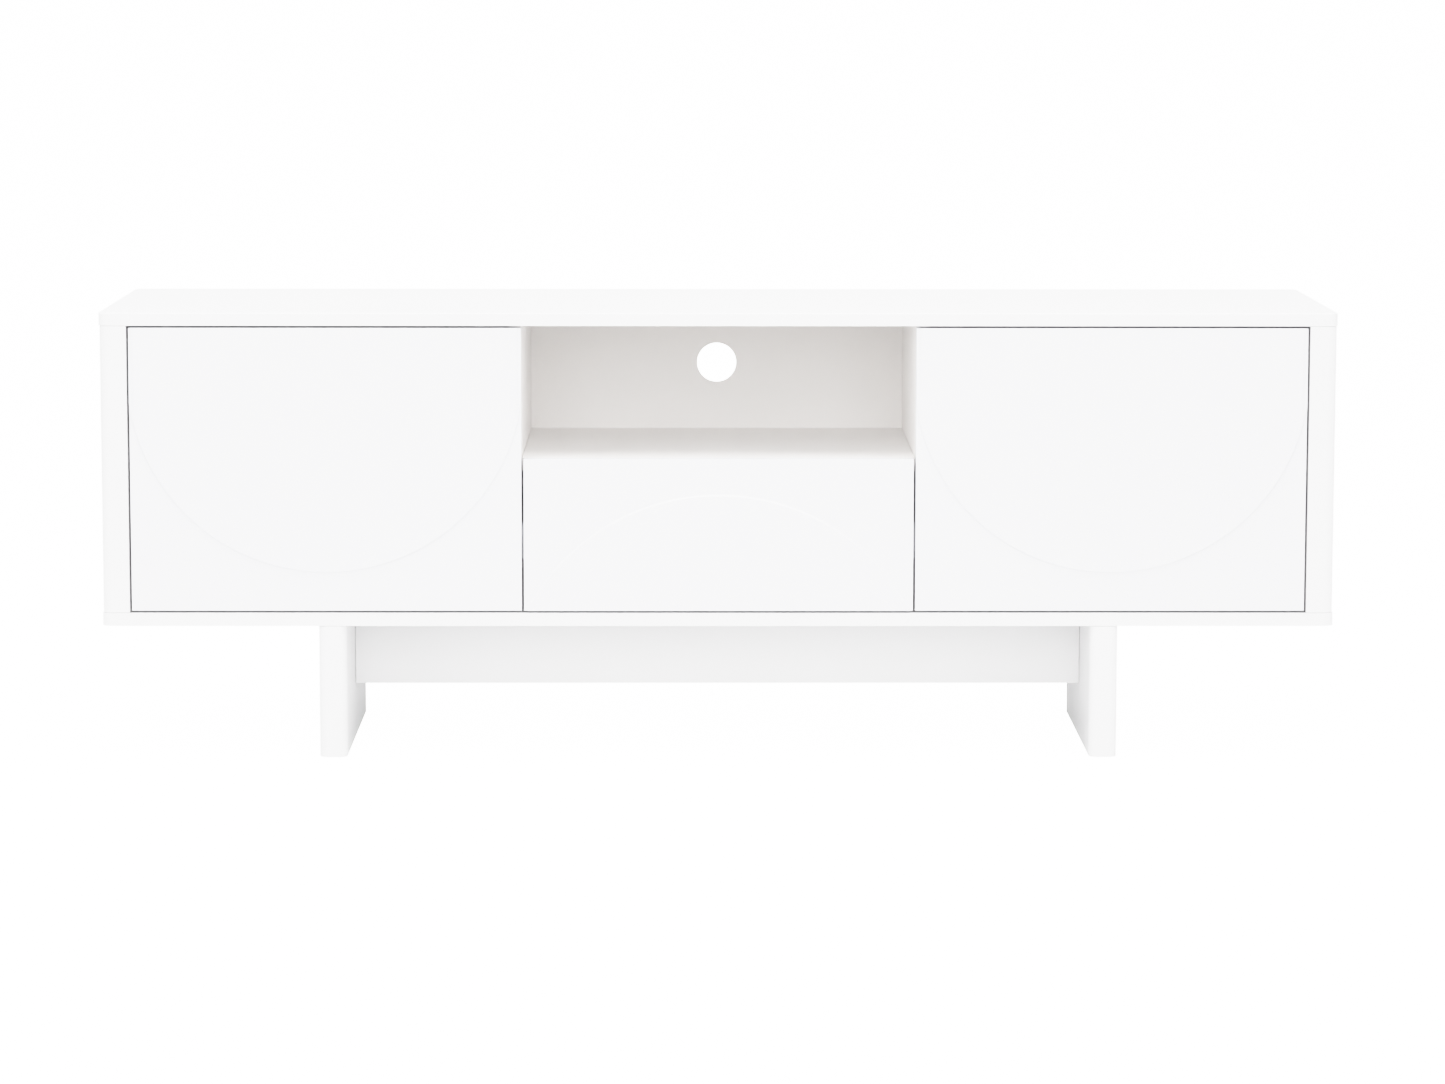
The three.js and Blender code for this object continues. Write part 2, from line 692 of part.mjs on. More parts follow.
function latchHousing() {
  const y1 = LATCH_START + LATCH_LENGTH;
  const roof = LATCH_AXIS_DROP - SEAM;
  const half = LATCH_WIDTH / 2;
  const body = box(-half, half, LATCH_START, y1, -LATCH_BODY_DROP, roof);
  const flangeY = LATCH_START + (LATCH_LENGTH - LATCH_FLANGE_LENGTH) / 2;
  const flange = box(
    -LATCH_FLANGE_WIDTH / 2,
    LATCH_FLANGE_WIDTH / 2,
    flangeY,
    flangeY + LATCH_FLANGE_LENGTH,
    roof - LATCH_FLANGE_THICKNESS,
    roof,
  );
  const boreRadius = PLUNGER_RADIUS + LATCH_BORE_PLAY;
  const bore = rodY(boreRadius, LATCH_START - OVERCUT, LATCH_START + LATCH_BORE_DEPTH, 0, 0);
  return shaped(body, { add: [flange], cut: [bore] });
}

function latchPlunger() {
  const profile = [
    [0, 0],
    [PLUNGER_HEAD_RADIUS, 0],
    [PLUNGER_HEAD_RADIUS, PLUNGER_HEAD_LENGTH],
    [PLUNGER_RADIUS, PLUNGER_HEAD_LENGTH],
    [PLUNGER_RADIUS, PLUNGER_LENGTH],
    [0, PLUNGER_LENGTH],
  ];
  return shaped(lathed(profile, ROUND_SIDES));
}

const latches = new THREE.Group();
furniture.add(latches);
const housing = latchHousing();
const plunger = latchPlunger();
const doorLatchX = partitionOuter + LATCH_INSET;
const doorLatchY = frontBackY + SEAM + STRIKE_THICKNESS + SEAM;
const doorLatchZ = topUnder - LATCH_AXIS_DROP;
const strike = shaped(rodY(STRIKE_RADIUS, -SEAM - STRIKE_THICKNESS, -SEAM, 0, 0));
placePair(latches, 'latch_housing', housing, greyPlastic, -doorLatchX, doorLatchY, doorLatchZ);
placePair(latches, 'latch_plunger', plunger, darkPlastic, -doorLatchX, doorLatchY, doorLatchZ);
placePair(latches, 'door_strike', strike, zinc, -doorLatchX, doorLatchY, doorLatchZ);

// ---------------------------------------------------------------- drawer

const boxOuter = nicheHalf - RUNNER_SPACE;
const boxInner = boxOuter - DRAWER_BOARD;
const boxStart = frontBackY + SEAM;
const runnerY0 = boardFrontY + RUNNER_START;
const runnerY1 = backPanelFront - RUNNER_REAR_ROOM;
const boxEnd = runnerY1 + DRAWER_REAR_MARGIN;
const boxFoot = bottomTop + DRAWER_HEADROOM;
const boxHead = shelfUnder - DRAWER_HEADROOM;
const baseUnder = boxFoot + DRAWER_BASE_RAISE;
const baseTop = baseUnder + DRAWER_BASE;

// The slot for the drawer's bottom board.
function baseGroove(x0, x1, y0, y1) {
  return box(x0, x1, y0, y1, baseUnder - GROOVE_PLAY, baseTop + GROOVE_PLAY);
}

function drawerFront() {
  const groove = baseGroove(-boxOuter, boxOuter, frontBackY - GROOVE_DEPTH, frontBackY + OVERCUT);
  return milledFront(-drawerHalf, drawerHalf, frontFoot, drawerHead, drawerField(), [groove]);
}

function drawerSide() {
  const x0 = -boxInner - GROOVE_DEPTH;
  const groove = baseGroove(x0, -boxInner + OVERCUT, boxStart - OVERCUT, boxEnd + OVERCUT);
  return shaped(box(-boxOuter, -boxInner, boxStart, boxEnd, boxFoot, boxHead), { cut: [groove] });
}

function drawerBack() {
  const half = boxInner - SEAM;
  return shaped(box(-half, half, boxEnd - DRAWER_BOARD, boxEnd, baseTop + SEAM, boxHead));
}

function drawerBottom() {
  const half = boxInner + GROOVE_DEPTH - GROOVE_PLAY;
  const y0 = frontBackY - GROOVE_DEPTH + GROOVE_PLAY;
  return shaped(box(-half, half, y0, boxEnd, baseUnder, baseTop));
}

const drawer = new THREE.Group();
furniture.add(drawer);
place(drawer, 'drawer_front', drawerFront(), frontLacquer);
const leftDrawerSide = drawerSide();
place(drawer, 'drawer_left_side', leftDrawerSide, melamine);
place(drawer, 'drawer_right_side', mirroredX(leftDrawerSide), melamine);
place(drawer, 'drawer_back', drawerBack(), melamine);
place(drawer, 'drawer_bottom', drawerBottom(), hardboard);

// The drawer's own latch hangs under the niche shelf and pushes on the drawer's back.
const drawerLatchY = boxEnd + SEAM;
const drawerLatchZ = shelfUnder - LATCH_AXIS_DROP - SEAM;
place(latches, 'drawer_latch_housing', housing, greyPlastic, 0, drawerLatchY, drawerLatchZ);
place(latches, 'drawer_latch_plunger', plunger, darkPlastic, 0, drawerLatchY, drawerLatchZ);

// Three-member runners. The section is a lying channel: x0 is its web, x1 the end of its lips.
function channel(x0, x1, halfHeight, y0, y1) {
  const web = x0 + Math.sign(x1 - x0) * RUNNER_SHEET;
  const lip = halfHeight - RUNNER_SHEET;
  const outline = polygon([
    [x0, -halfHeight],
    [x1, -halfHeight],
    [x1, -lip],
    [web, -lip],
    [web, lip],
    [x1, lip],
    [x1, halfHeight],
    [x0, halfHeight],
  ]);
  return shaped(extrudeY(outline, y0, y1));
}

const runnerWall = -nicheHalf + SEAM;
const runnerInner = -boxOuter - SEAM;
const runnerZ = (boxFoot + boxHead) / 2;
const cabinetHalf = RUNNER_HEIGHT / 2;
const middleHalf = cabinetHalf - RUNNER_SHEET - BALL_TRACK;
const drawerMemberHalf = middleHalf - RUNNER_SHEET - BALL_TRACK;
const runnerStep = RUNNER_SHEET + BALL_TRACK;
const cabinetMember = channel(runnerWall, runnerInner - runnerStep, cabinetHalf, runnerY0, runnerY1);
const middleMember = channel(
  runnerWall + runnerStep,
  runnerInner - runnerStep,
  middleHalf,
  runnerY0,
  runnerY1,
);
const drawerMember = channel(
  runnerInner,
  runnerWall + runnerStep * 2,
  drawerMemberHalf,
  runnerY0,
  runnerY1,
);
placePair(drawer, 'runner_cabinet_member', cabinetMember, zinc, 0, 0, runnerZ);
placePair(drawer, 'runner_middle_member', middleMember, zinc, 0, 0, runnerZ);
placePair(drawer, 'runner_drawer_member', drawerMember, zinc, 0, 0, runnerZ);

export default furniture;
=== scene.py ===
import math

import bmesh
import bpy
import numpy as np
from mathutils import Matrix, Vector


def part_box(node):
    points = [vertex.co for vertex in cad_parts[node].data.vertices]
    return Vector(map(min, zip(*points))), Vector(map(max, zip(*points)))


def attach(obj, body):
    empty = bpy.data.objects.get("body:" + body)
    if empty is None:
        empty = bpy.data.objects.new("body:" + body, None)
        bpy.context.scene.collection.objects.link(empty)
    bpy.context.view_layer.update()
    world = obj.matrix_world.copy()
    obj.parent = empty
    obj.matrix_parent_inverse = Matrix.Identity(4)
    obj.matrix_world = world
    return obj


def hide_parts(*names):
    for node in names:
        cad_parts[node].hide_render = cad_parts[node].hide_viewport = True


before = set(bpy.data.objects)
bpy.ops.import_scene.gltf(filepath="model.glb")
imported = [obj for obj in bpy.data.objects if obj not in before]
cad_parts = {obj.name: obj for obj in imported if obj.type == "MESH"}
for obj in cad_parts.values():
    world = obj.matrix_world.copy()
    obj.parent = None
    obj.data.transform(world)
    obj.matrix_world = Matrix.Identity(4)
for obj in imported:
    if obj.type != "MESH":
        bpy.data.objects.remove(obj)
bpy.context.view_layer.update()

# ---------------------------------------------------------------- camera, floor and light
# The camera stands far in front, a little left of the middle and above the top, and looks slightly
# down with a long lens. The floor is a sheet of matt white that glows, as a light table does, and four
# large softboxes light the stand from above, in front and both sides.
camera_data = bpy.data.cameras.new("camera")
camera = bpy.data.objects.new("camera", camera_data)
bpy.context.scene.collection.objects.link(camera)
bpy.context.scene.camera = camera
camera_data.sensor_width = 36
camera_data.lens = 116.46
camera_place = Vector((-0.0417, -5.8339, 0.9852))
turned_right = math.radians(0.472)
tipped_down = math.radians(7.282)
leaned = math.radians(0.069)
camera.matrix_world = (
    Matrix.Translation(camera_place)
    @ Matrix.Rotation(-turned_right, 4, "Z")
    @ Matrix.Rotation(math.pi / 2 - tipped_down, 4, "X")
    @ Matrix.Rotation(leaned, 4, "Z")
)

FLOOR_HALF = 200.0
FLOOR_WHITE = (0.8, 0.8, 0.8, 1)
FLOOR_GLOW = 2.6
FLOOR_GLOW_SHARE = 0.72
floor_mesh = bpy.data.meshes.new("floor")
floor_corners = np.array([(-1, -1, 0), (1, -1, 0), (1, 1, 0), (-1, 1, 0)]) * FLOOR_HALF
floor_mesh.from_pydata(floor_corners.tolist(), [], [(0, 1, 2, 3)])
floor = bpy.data.objects.new("floor", floor_mesh)
bpy.context.scene.collection.objects.link(floor)
floor_paint = bpy.data.materials.new("studio floor")
floor_paint.use_nodes = True
floor_tree = floor_paint.node_tree
floor_shader = floor_tree.nodes["Principled BSDF"]
floor_shader.inputs["Base Color"].default_value = FLOOR_WHITE
floor_shader.inputs["Roughness"].default_value = 0.9
floor_shader.inputs["Specular IOR Level"].default_value = 0.1
glow = floor_tree.nodes.new("ShaderNodeEmission")
glow.inputs["Strength"].default_value = FLOOR_GLOW
seen = floor_tree.nodes.new("ShaderNodeLightPath")
seen_share = floor_tree.nodes.new("ShaderNodeMath")
seen_share.operation = "MULTIPLY"
seen_share.inputs[1].default_value = FLOOR_GLOW_SHARE
lit_or_glowing = floor_tree.nodes.new("ShaderNodeMixShader")
floor_tree.links.new(seen.outputs["Is Camera Ray"], seen_share.inputs[0])
floor_tree.links.new(seen_share.outputs[0], lit_or_glowing.inputs[0])
floor_tree.links.new(floor_shader.outputs[0], lit_or_glowing.inputs[1])
floor_tree.links.new(glow.outputs[0], lit_or_glowing.inputs[2])
floor_tree.links.new(lit_or_glowing.outputs[0], floor_tree.nodes["Material Output"].inputs["Surface"])
floor_mesh.materials.append(floor_paint)

ROOM_LIGHT = 0.36
studio = bpy.data.worlds.new("studio")
studio.use_nodes = True
room = studio.node_tree.nodes["Background"]
room.inputs["Color"].default_value = (1, 1, 1, 1)
room.inputs["Strength"].default_value = ROOM_LIGHT
bpy.context.scene.world = studio
bpy.context.scene.view_settings.view_transform = "Standard"


def softbox(name, place, aim, width, height, power):
    """A large flat lamp at place, facing aim."""
    data = bpy.data.lights.new(name, "AREA")
    data.shape = "RECTANGLE"
    data.size = width
    data.size_y = height
    data.energy = power
    lamp = bpy.data.objects.new(name, data)
    bpy.context.scene.collection.objects.link(lamp)
    away = Vector(place) - Vector(aim)
    lamp.matrix_world = Matrix.Translation(place) @ away.to_track_quat("Z", "Y").to_matrix().to_4x4()


softbox("overhead softbox", (0.0, -0.5, 2.7), (0, 0, 0.4), 3.4, 1.8, 48)
softbox("front softbox", (0.0, -5.4, 1.7), (0, 0, 0.35), 3.0, 1.8, 40)
softbox("left softbox", (-3.6, -2.6, 1.5), (0, 0, 0.35), 2.4, 2.0, 22)
softbox("right softbox", (3.6, -2.6, 1.5), (0, 0, 0.35), 2.4, 2.0, 19)

# A soft shoulder keeps detail in the whites: shown = end (1 - e^(-kx)) / (1 - e^(-k)) up to x = 1.
# Beyond it the curve runs on straight, so only the glowing floor reaches full white. The fourth curve
# is the one for all three colour channels together.
SHOULDER = 5.0
SHOULDER_END = 0.965
SHOULDER_PARTS = 10
tones = bpy.context.scene.view_settings
tones.use_curve_mapping = True
tone_curve = tones.curve_mapping.curves[3]
for light in np.linspace(0, 1, SHOULDER_PARTS + 1)[1:-1]:
    shown = (1 - math.exp(-SHOULDER * light)) / (1 - math.exp(-SHOULDER))
    tone_curve.points.new(light, SHOULDER_END * shown)
tone_curve.points[-1].location = (1, SHOULDER_END)
tones.curve_mapping.update()

# ---------------------------------------------------------------- top and bottom panels
# Two 16 mm boards of medium-density fibreboard, sprayed with satin white lacquer. Their corners are
# rounded in plan, the top panel's upper edge is softly broken, and each holds the back panels in grooves.
BOARD_CORNER = 0.012
CORNER_STEPS = 12
TOP_EDGE = 0.0018
BROKEN_EDGE = 0.0007
GROOVE_PLAY = 0.0003
WELD = 1e-6


def corners_of(node):
    """A CAD node's lowest and highest corners as arrays."""
    low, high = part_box(node)
    return np.array(low), np.array(high)


def mesh_from(name, grids, faces=(), edges=None):
    """A welded mesh from grids of points (rows, columns, 3), whose neighbours make quads, and from
    flat faces given as rings of points. The edge attribute is 1 where the surface turns a corner; on the
    fronts it also carries the mask of a painted highlight along the milled lip."""
    points = []
    polygons = []
    wear = []
    start = 0
    for place, grid in enumerate(grids):
        rows, columns = grid.shape[:2]
        index = start + np.arange(rows * columns).reshape(rows, columns)
        quads = np.stack([index[:-1, :-1], index[:-1, 1:], index[1:, 1:], index[1:, :-1]], axis=-1)
        polygons += quads.reshape(-1, 4).tolist()
        points.append(grid.reshape(-1, 3))
        wear.append(np.zeros(rows * columns) if edges is None else edges[place].reshape(-1))
        start += rows * columns
    for ring in faces:
        polygons.append(list(range(start, start + len(ring))))
        points.append(ring)
        wear.append(np.zeros(len(ring)))
        start += len(ring)
    mesh = bpy.data.meshes.new(name)
    mesh.from_pydata(np.concatenate(points).tolist(), [], polygons)
    worn = mesh.attributes.new("edge", "FLOAT", "POINT")
    worn.data.foreach_set("value", np.concatenate(wear).astype(np.float32))
    shell = bmesh.new()
    shell.from_mesh(mesh)
    bmesh.ops.remove_doubles(shell, verts=shell.verts, dist=WELD)
    bmesh.ops.recalc_face_normals(shell, faces=shell.faces)
    shell.to_mesh(mesh)
    shell.free()
    piece = bpy.data.objects.new(name, mesh)
    bpy.context.scene.collection.objects.link(piece)
    return piece


def rounded_ring(a0, a1, b0, b1, radii, inset, steps):
    """Points round a rectangle with rounded corners, moved inwards by inset: each corner's centre
    stays where it is and its radius shrinks, so a point is centre + (radius - inset)(cos t, sin t)."""
    radii = np.asarray(radii, float)
    a = np.array([a0, a1, a1, a0]) + radii * [1, -1, -1, 1]
    b = np.array([b0, b0, b1, b1]) + radii * [1, 1, -1, -1]
    turn = np.radians(np.linspace(0, 90, steps + 1) + np.array([[180], [270], [0], [90]]))
    reach = (radii - inset)[:, None]
    ring = np.stack([a[:, None] + reach * np.cos(turn), b[:, None] + reach * np.sin(turn)], axis=-1)
    return ring.reshape(-1, 2)


# For each axis, the places in a point of the two axes across it and then its own.
AXES = {"x": (1, 2, 0), "y": (2, 0, 1), "z": (0, 1, 2)}

# The angles at which a quarter-round edge has its points.
QUARTER_TURN = np.radians(np.linspace(0, 90, 5))


def board(name, box, rounding, corners=0.0, flat="z", steps=3):
    """A board whose broad faces look along the flat axis. Rings of its outline run up a section that is
    a quarter circle at each broad face: inset = e(1 - sin t), height = e(1 - cos t) for t from 0 to 90
    degrees. rounding is e at the low and the high face, corners the outline's own corner radii."""
    low, high = box
    across, up, through = AXES[flat]
    ends = np.broadcast_to(np.asarray(rounding, float), 2)
    radii = np.maximum(np.broadcast_to(np.asarray(corners, float), 4), ends.max())
    inwards = 1 - np.sin(QUARTER_TURN)
    along = 1 - np.cos(QUARTER_TURN)
    inset = np.concatenate([ends[0] * inwards, ends[1] * inwards[::-1]])
    rise = np.concatenate([low[through] + ends[0] * along, high[through] - ends[1] * along[::-1]])
    grid = np.zeros((len(inset), 4 * (steps + 1) + 1, 3))
    for row, (moved_in, level) in enumerate(zip(inset, rise)):
        ring = rounded_ring(low[across], high[across], low[up], high[up], radii, moved_in, steps)
        grid[row, :-1, across] = ring[:, 0]
        grid[row, :-1, up] = ring[:, 1]
        grid[row, :-1, through] = level
    grid[:, -1] = grid[:, 0]
    worn = np.concatenate([np.sin(2 * QUARTER_TURN), np.sin(2 * QUARTER_TURN[::-1])])
    worn = np.repeat(worn[:, None], grid.shape[1], axis=1)
    return mesh_from(name, [grid], [grid[0, :-1], grid[-1, :-1]], [worn])


def groove_for(panel):
    """The solid to cut away where a panel is let in: the panel's box with play on every side."""
    low, high = corners_of(panel)
    return board("groove", (low - GROOVE_PLAY, high + GROOVE_PLAY), 0.0)


def applied(piece):
    """The piece with its modifiers worked into its mesh."""
    evaluated = piece.evaluated_get(bpy.context.evaluated_depsgraph_get())
    mesh = bpy.data.meshes.new_from_object(evaluated)
    mesh.name = piece.name
    piece.modifiers.clear()
    piece.data = mesh
    return piece


def cut_away(piece, solids):
    """Cuts some solids away from a piece. The solids are used up."""
    for solid in solids:
        change = piece.modifiers.new("cut", "BOOLEAN")
        change.solver = "EXACT"
        change.operation = "DIFFERENCE"
        change.object = solid
    applied(piece)
    for solid in solids:
        bpy.data.objects.remove(solid)


SMOOTH_UNDER = math.radians(36)


def finished(piece, material, slot, body, *nodes):
    """Gives a piece its finish and smooth shading, attaches it to its body, and hides the CAD nodes it
    stands for.
    """
    piece.data.materials.clear()
    piece.data.materials.append(material)
    piece.data.shade_smooth()
    piece.data.set_sharp_from_angle(angle=SMOOTH_UNDER)
    even = piece.modifiers.new("even shading", "WEIGHTED_NORMAL")
    even.keep_sharp = True
    even.weight = 100
    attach(piece, body)
    if nodes:
        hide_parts(*nodes)


def put(tree, kind, inputs=None, **settings):
    """A node in the tree: settings are its options, inputs are numbers, colours or sockets to link."""
    node = tree.nodes.new("ShaderNode" + kind)
    for name, value in settings.items():
        setattr(node, name, value)
    for name, value in (inputs or {}).items():
        if isinstance(value, bpy.types.NodeSocket):
            tree.links.new(value, node.inputs[name])
        else:
            node.inputs[name].default_value = value
    return node


def effect(name, takes, gives):
    """An empty shader node group with named inputs (their usual values) and outputs."""
    tree = bpy.data.node_groups.new(name, "ShaderNodeTree")
    kinds = {float: "NodeSocketFloat", tuple: "NodeSocketColor", str: "NodeSocketVector"}
    for label, value in takes.items():
        socket = tree.interface.new_socket(label, in_out="INPUT", socket_type=kinds[type(value)])
        if not isinstance(value, str):
            socket.default_value = value
    for label, kind in gives.items():
        tree.interface.new_socket(label, in_out="OUTPUT", socket_type="NodeSocket" + kind)
    ways_in = tree.nodes.new("NodeGroupInput").outputs
    ways_out = tree.nodes.new("NodeGroupOutput").inputs
    return tree, ways_in, ways_out


def mixed(tree, share, first, second):
    """The colour that is the given share of the way from the first to the second. A Mix node has
    several sockets of one name: for colours, the share is its input 0, the two are 6 and 7."""
    mix = put(tree, "Mix", data_type="RGBA")
    for place, value in ((0, share), (6, first), (7, second)):
        if isinstance(value, bpy.types.NodeSocket):
            tree.links.new(value, mix.inputs[place])
        else:
            mix.inputs[place].default_value = value
    return mix.outputs[2]


def ranged(tree, value, low, high):
    """A 0 to 1 value spread between low and high."""
    takes = {"Value": value, "To Min": low, "To Max": high}
    return put(tree, "MapRange", takes).outputs["Result"]


# Drift: two close colours that run softly into each other, with a fine speck of the second.
drift, given, made = effect(
    "drift",
    {"Place": "", "First": (1, 1, 1, 1), "Second": (0.9, 0.9, 0.9, 1), "Patch": 7.0, "Speck": 900.0},
    {"Color": "Color"},
)
cloud = put(drift, "TexNoise", {"Vector": given["Place"], "Scale": given["Patch"], "Detail": 3.0})
speck = put(drift, "TexNoise", {"Vector": given["Place"], "Scale": given["Speck"], "Detail": 1.0})
specked = put(drift, "Math", {0: cloud.outputs["Fac"], 1: speck.outputs["Fac"]}, operation="MULTIPLY")
doubled = put(drift, "Math", {0: specked.outputs[0], 1: 2.0}, operation="MULTIPLY", use_clamp=True)
drift.links.new(mixed(drift, doubled.outputs[0], given["First"], given["Second"]), made["Color"])

# Skin: the small relief of a sprayed, pressed or moulded surface and the gloss that goes with it. Its
# height is the fine grain plus WAVE_WEIGHT times the wide waves.
WAVE_WEIGHT = 1.4
skin, given, made = effect(
    "skin",
    {"Place": "", "Grain": 350.0, "Wave": 18.0, "Smooth": 0.35, "Rough": 0.45},
    {"Height": "Float", "Roughness": "Float"},
)
grain = put(skin, "TexNoise", {"Vector": given["Place"], "Scale": given["Grain"], "Detail": 2.0})
wave = put(skin, "TexNoise", {"Vector": given["Place"], "Scale": given["Wave"], "Detail": 2.0})
relief = put(
    skin,
    "Math",
    {0: wave.outputs["Fac"], 1: WAVE_WEIGHT, 2: grain.outputs["Fac"]},
    operation="MULTIPLY_ADD",
)
skin.links.new(relief.outputs[0], made["Height"])
gloss = ranged(skin, wave.outputs["Fac"], given["Smooth"], given["Rough"])
skin.links.new(gloss, made["Roughness"])

# Handling: faint rubbed patches where hands and cloths have been, and a lighter colour along the edge mask:
# wear on worn edges and, on the fronts' milled lip, a painted highlight.
handling_and_lip_highlight, given, made = effect(
    "handling_and_lip_highlight",
    {"Place": "", "Color": (1, 1, 1, 1), "Roughness": 0.4, "Edge": 0.0, "Rub": 0.05, "Bare and highlight": (1, 1, 1, 1)},
    {"Color": "Color", "Roughness": "Float"},
)
rubbed = put(
    handling_and_lip_highlight,
    "TexNoise",
    {"Vector": given["Place"], "Scale": 4.5, "Detail": 5.0, "Distortion": 0.6},
)
patch = put(
    handling_and_lip_highlight,
    "MapRange",
    {"Value": rubbed.outputs["Fac"], "From Min": 0.52, "From Max": 0.7, "To Max": given["Rub"]},
)
chips = put(handling_and_lip_highlight, "TexNoise", {"Vector": given["Place"], "Scale": 60.0, "Detail": 3.0})
worn = put(handling_and_lip_highlight, "Math", {0: chips.outputs["Fac"], 1: given["Edge"]}, operation="MULTIPLY")
sparse = put(
    handling_and_lip_highlight,
    "MapRange",
    {"Value": worn.outputs[0], "From Min": 0.45, "From Max": 0.8, "To Max": 0.5},
)
# The lighter colour along the edge mask: real wear on edges, and a painted highlight on the fronts' milled
# lip.
handling_and_lip_highlight.links.new(mixed(handling_and_lip_highlight, sparse.outputs[0], given["Color"], given["Bare and highlight"]), made["Color"])
sheen = put(handling_and_lip_highlight, "Math", {0: given["Roughness"], 1: patch.outputs[0]}, operation="SUBTRACT")
handling_and_lip_highlight.links.new(sheen.outputs[0], made["Roughness"])


def finish_of(name, first, second, bare_and_highlight, look, metallic=0.0, relief_height=0.00004, stretch=(1, 1, 1)):
    """A material: drifting colour, a skin of small relief, and signs of use. first and second are the
    colours that drift; the third is the colour laid along the edge mask, which is wear on worn edges and,
    on the fronts' milled lip, a painted highlight. look holds the skin's and the drift's own values.
    stretch pulls the pattern out along an axis, as rolling or brushing does."""
    material = bpy.data.materials.new(name)
    material.use_nodes = True
    tree = material.node_tree
    shader = tree.nodes["Principled BSDF"]
    where = put(tree, "TexCoord").outputs["Object"]
    drawn = put(tree, "Mapping", {"Vector": where, "Scale": stretch}).outputs["Vector"]
    colour = put(tree, "Group", node_tree=drift)
    tree.links.new(drawn, colour.inputs["Place"])
    colour.inputs["First"].default_value = (*first, 1)
    colour.inputs["Second"].default_value = (*second, 1)
    surface = put(tree, "Group", node_tree=skin)
    tree.links.new(drawn, surface.inputs["Place"])
    for label, value in look.items():
        target = surface if label in surface.inputs else colour
        target.inputs[label].default_value = value
    edge = put(tree, "Attribute", attribute_name="edge").outputs["Fac"]
    used = put(tree, "Group", node_tree=handling_and_lip_highlight)
    for label, socket in (
        ("Place", where),
        ("Color", colour.outputs["Color"]),
        ("Roughness", surface.outputs["Roughness"]),
        ("Edge", edge),
    ):
        tree.links.new(socket, used.inputs[label])
    used.inputs["Bare and highlight"].default_value = (*bare_and_highlight, 1)
    height = surface.outputs["Height"]
    bump = put(tree, "Bump", {"Height": height, "Distance": relief_height, "Strength": 0.6})
    tree.links.new(used.outputs["Color"], shader.inputs["Base Color"])
    tree.links.new(used.outputs["Roughness"], shader.inputs["Roughness"])
    tree.links.new(bump.outputs["Normal"], shader.inputs["Normal"])
    shader.inputs["Metallic"].default_value = metallic
    return material


lacquer = finish_of(
    "satin white lacquer",
    (0.775, 0.77, 0.77),
    (0.762, 0.759, 0.762),
    (0.83, 0.83, 0.83),
    {"Grain": 420.0, "Wave": 16.0, "Smooth": 0.38, "Rough": 0.47, "Patch": 5.0, "Speck": 1400.0},
)

back_panels = ("left_back_panel", "center_back_panel", "right_back_panel")
for panel, upper_edge in (("top_panel", TOP_EDGE), ("bottom_panel", BROKEN_EDGE)):
    slab = board(
        panel + "_board", corners_of(panel), (BROKEN_EDGE, upper_edge), BOARD_CORNER, steps=CORNER_STEPS
    )
    cut_away(slab, [groove_for(back) for back in back_panels])
    finished(slab, lacquer, "white_lacquer", "root", panel)

# ---------------------------------------------------------------- sides
# Two 33 mm lacquered boards between the slabs, rounded at their outer corners. Inside, each has two
# columns of bored pin holes, a groove for the back panel, and white caps over the cam fittings.
PIN_HOLE_RADIUS = 0.00275
PIN_HOLE_DEPTH = 0.0083
PIN_HOLE_PITCH = 0.032
PIN_HOLE_SIDES = 20
HOLE_FLARE = 0.0004
OVERCUT = 0.001
CAP_RADIUS = 0.0085
CAP_CROWN_RADIUS = 0.72 * CAP_RADIUS
CAP_HEIGHT = 0.0011
CAP_RIM_HEIGHT = 0.4 * CAP_HEIGHT
CAP_ROUNDING = 0.0004
CAP_SIDES = 28
CAP_FROM_END = 0.034
CAP_FROM_FRONT = 0.082
CAP_FROM_REAR = 0.052


def turned(name, profile, place, axis, sides):
    """A profile of (radius, height) points turned once round the axis through place, so that a point
    is place + (r cos t, r sin t) across the axis and h along it."""
    across, up, through = AXES[axis]
    profile = np.asarray(profile, float)
    turn = np.linspace(0, 2 * math.pi, sides + 1)
    grid = np.zeros((len(profile), sides + 1, 3))
    grid[..., across] = place[across] + profile[:, :1] * np.cos(turn)
    grid[..., up] = place[up] + profile[:, :1] * np.sin(turn)
    grid[..., through] = place[through] + profile[:, 1:]
    return mesh_from(name, [grid])


# The parts that a rounding is made of, the most of the way to the next corner that it takes up, and a
# length that stands for none.
ROUNDING_PARTS = 3
MOST_TRIM = 0.45
NO_LENGTH = 1e-12


def eased(line, radius, closed=False):
    """The line with each corner replaced by a quadratic curve that begins and ends radius away from
    it, or less where a neighbour is near: point = (1-t)^2 start + 2t(1-t) corner + t^2 end."""
    line = np.asarray(line, float)
    back = np.roll(line, 1, axis=0) - line
    ahead = np.roll(line, -1, axis=0) - line
    far_back = np.linalg.norm(back, axis=1, keepdims=True) + NO_LENGTH
    far_ahead = np.linalg.norm(ahead, axis=1, keepdims=True) + NO_LENGTH
    trim = np.minimum(radius, MOST_TRIM * np.minimum(far_back, far_ahead))
    start = (line + back / far_back * trim)[:, None]
    end = (line + ahead / far_ahead * trim)[:, None]
    t = np.linspace(0, 1, ROUNDING_PARTS + 1)[None, :, None]
    curve = (1 - t) ** 2 * start + 2 * t * (1 - t) * line[:, None] + t**2 * end
    if closed:
        return curve.reshape(-1, 2)
    return np.concatenate([line[:1], curve[1:-1].reshape(-1, 2), line[-1:]])


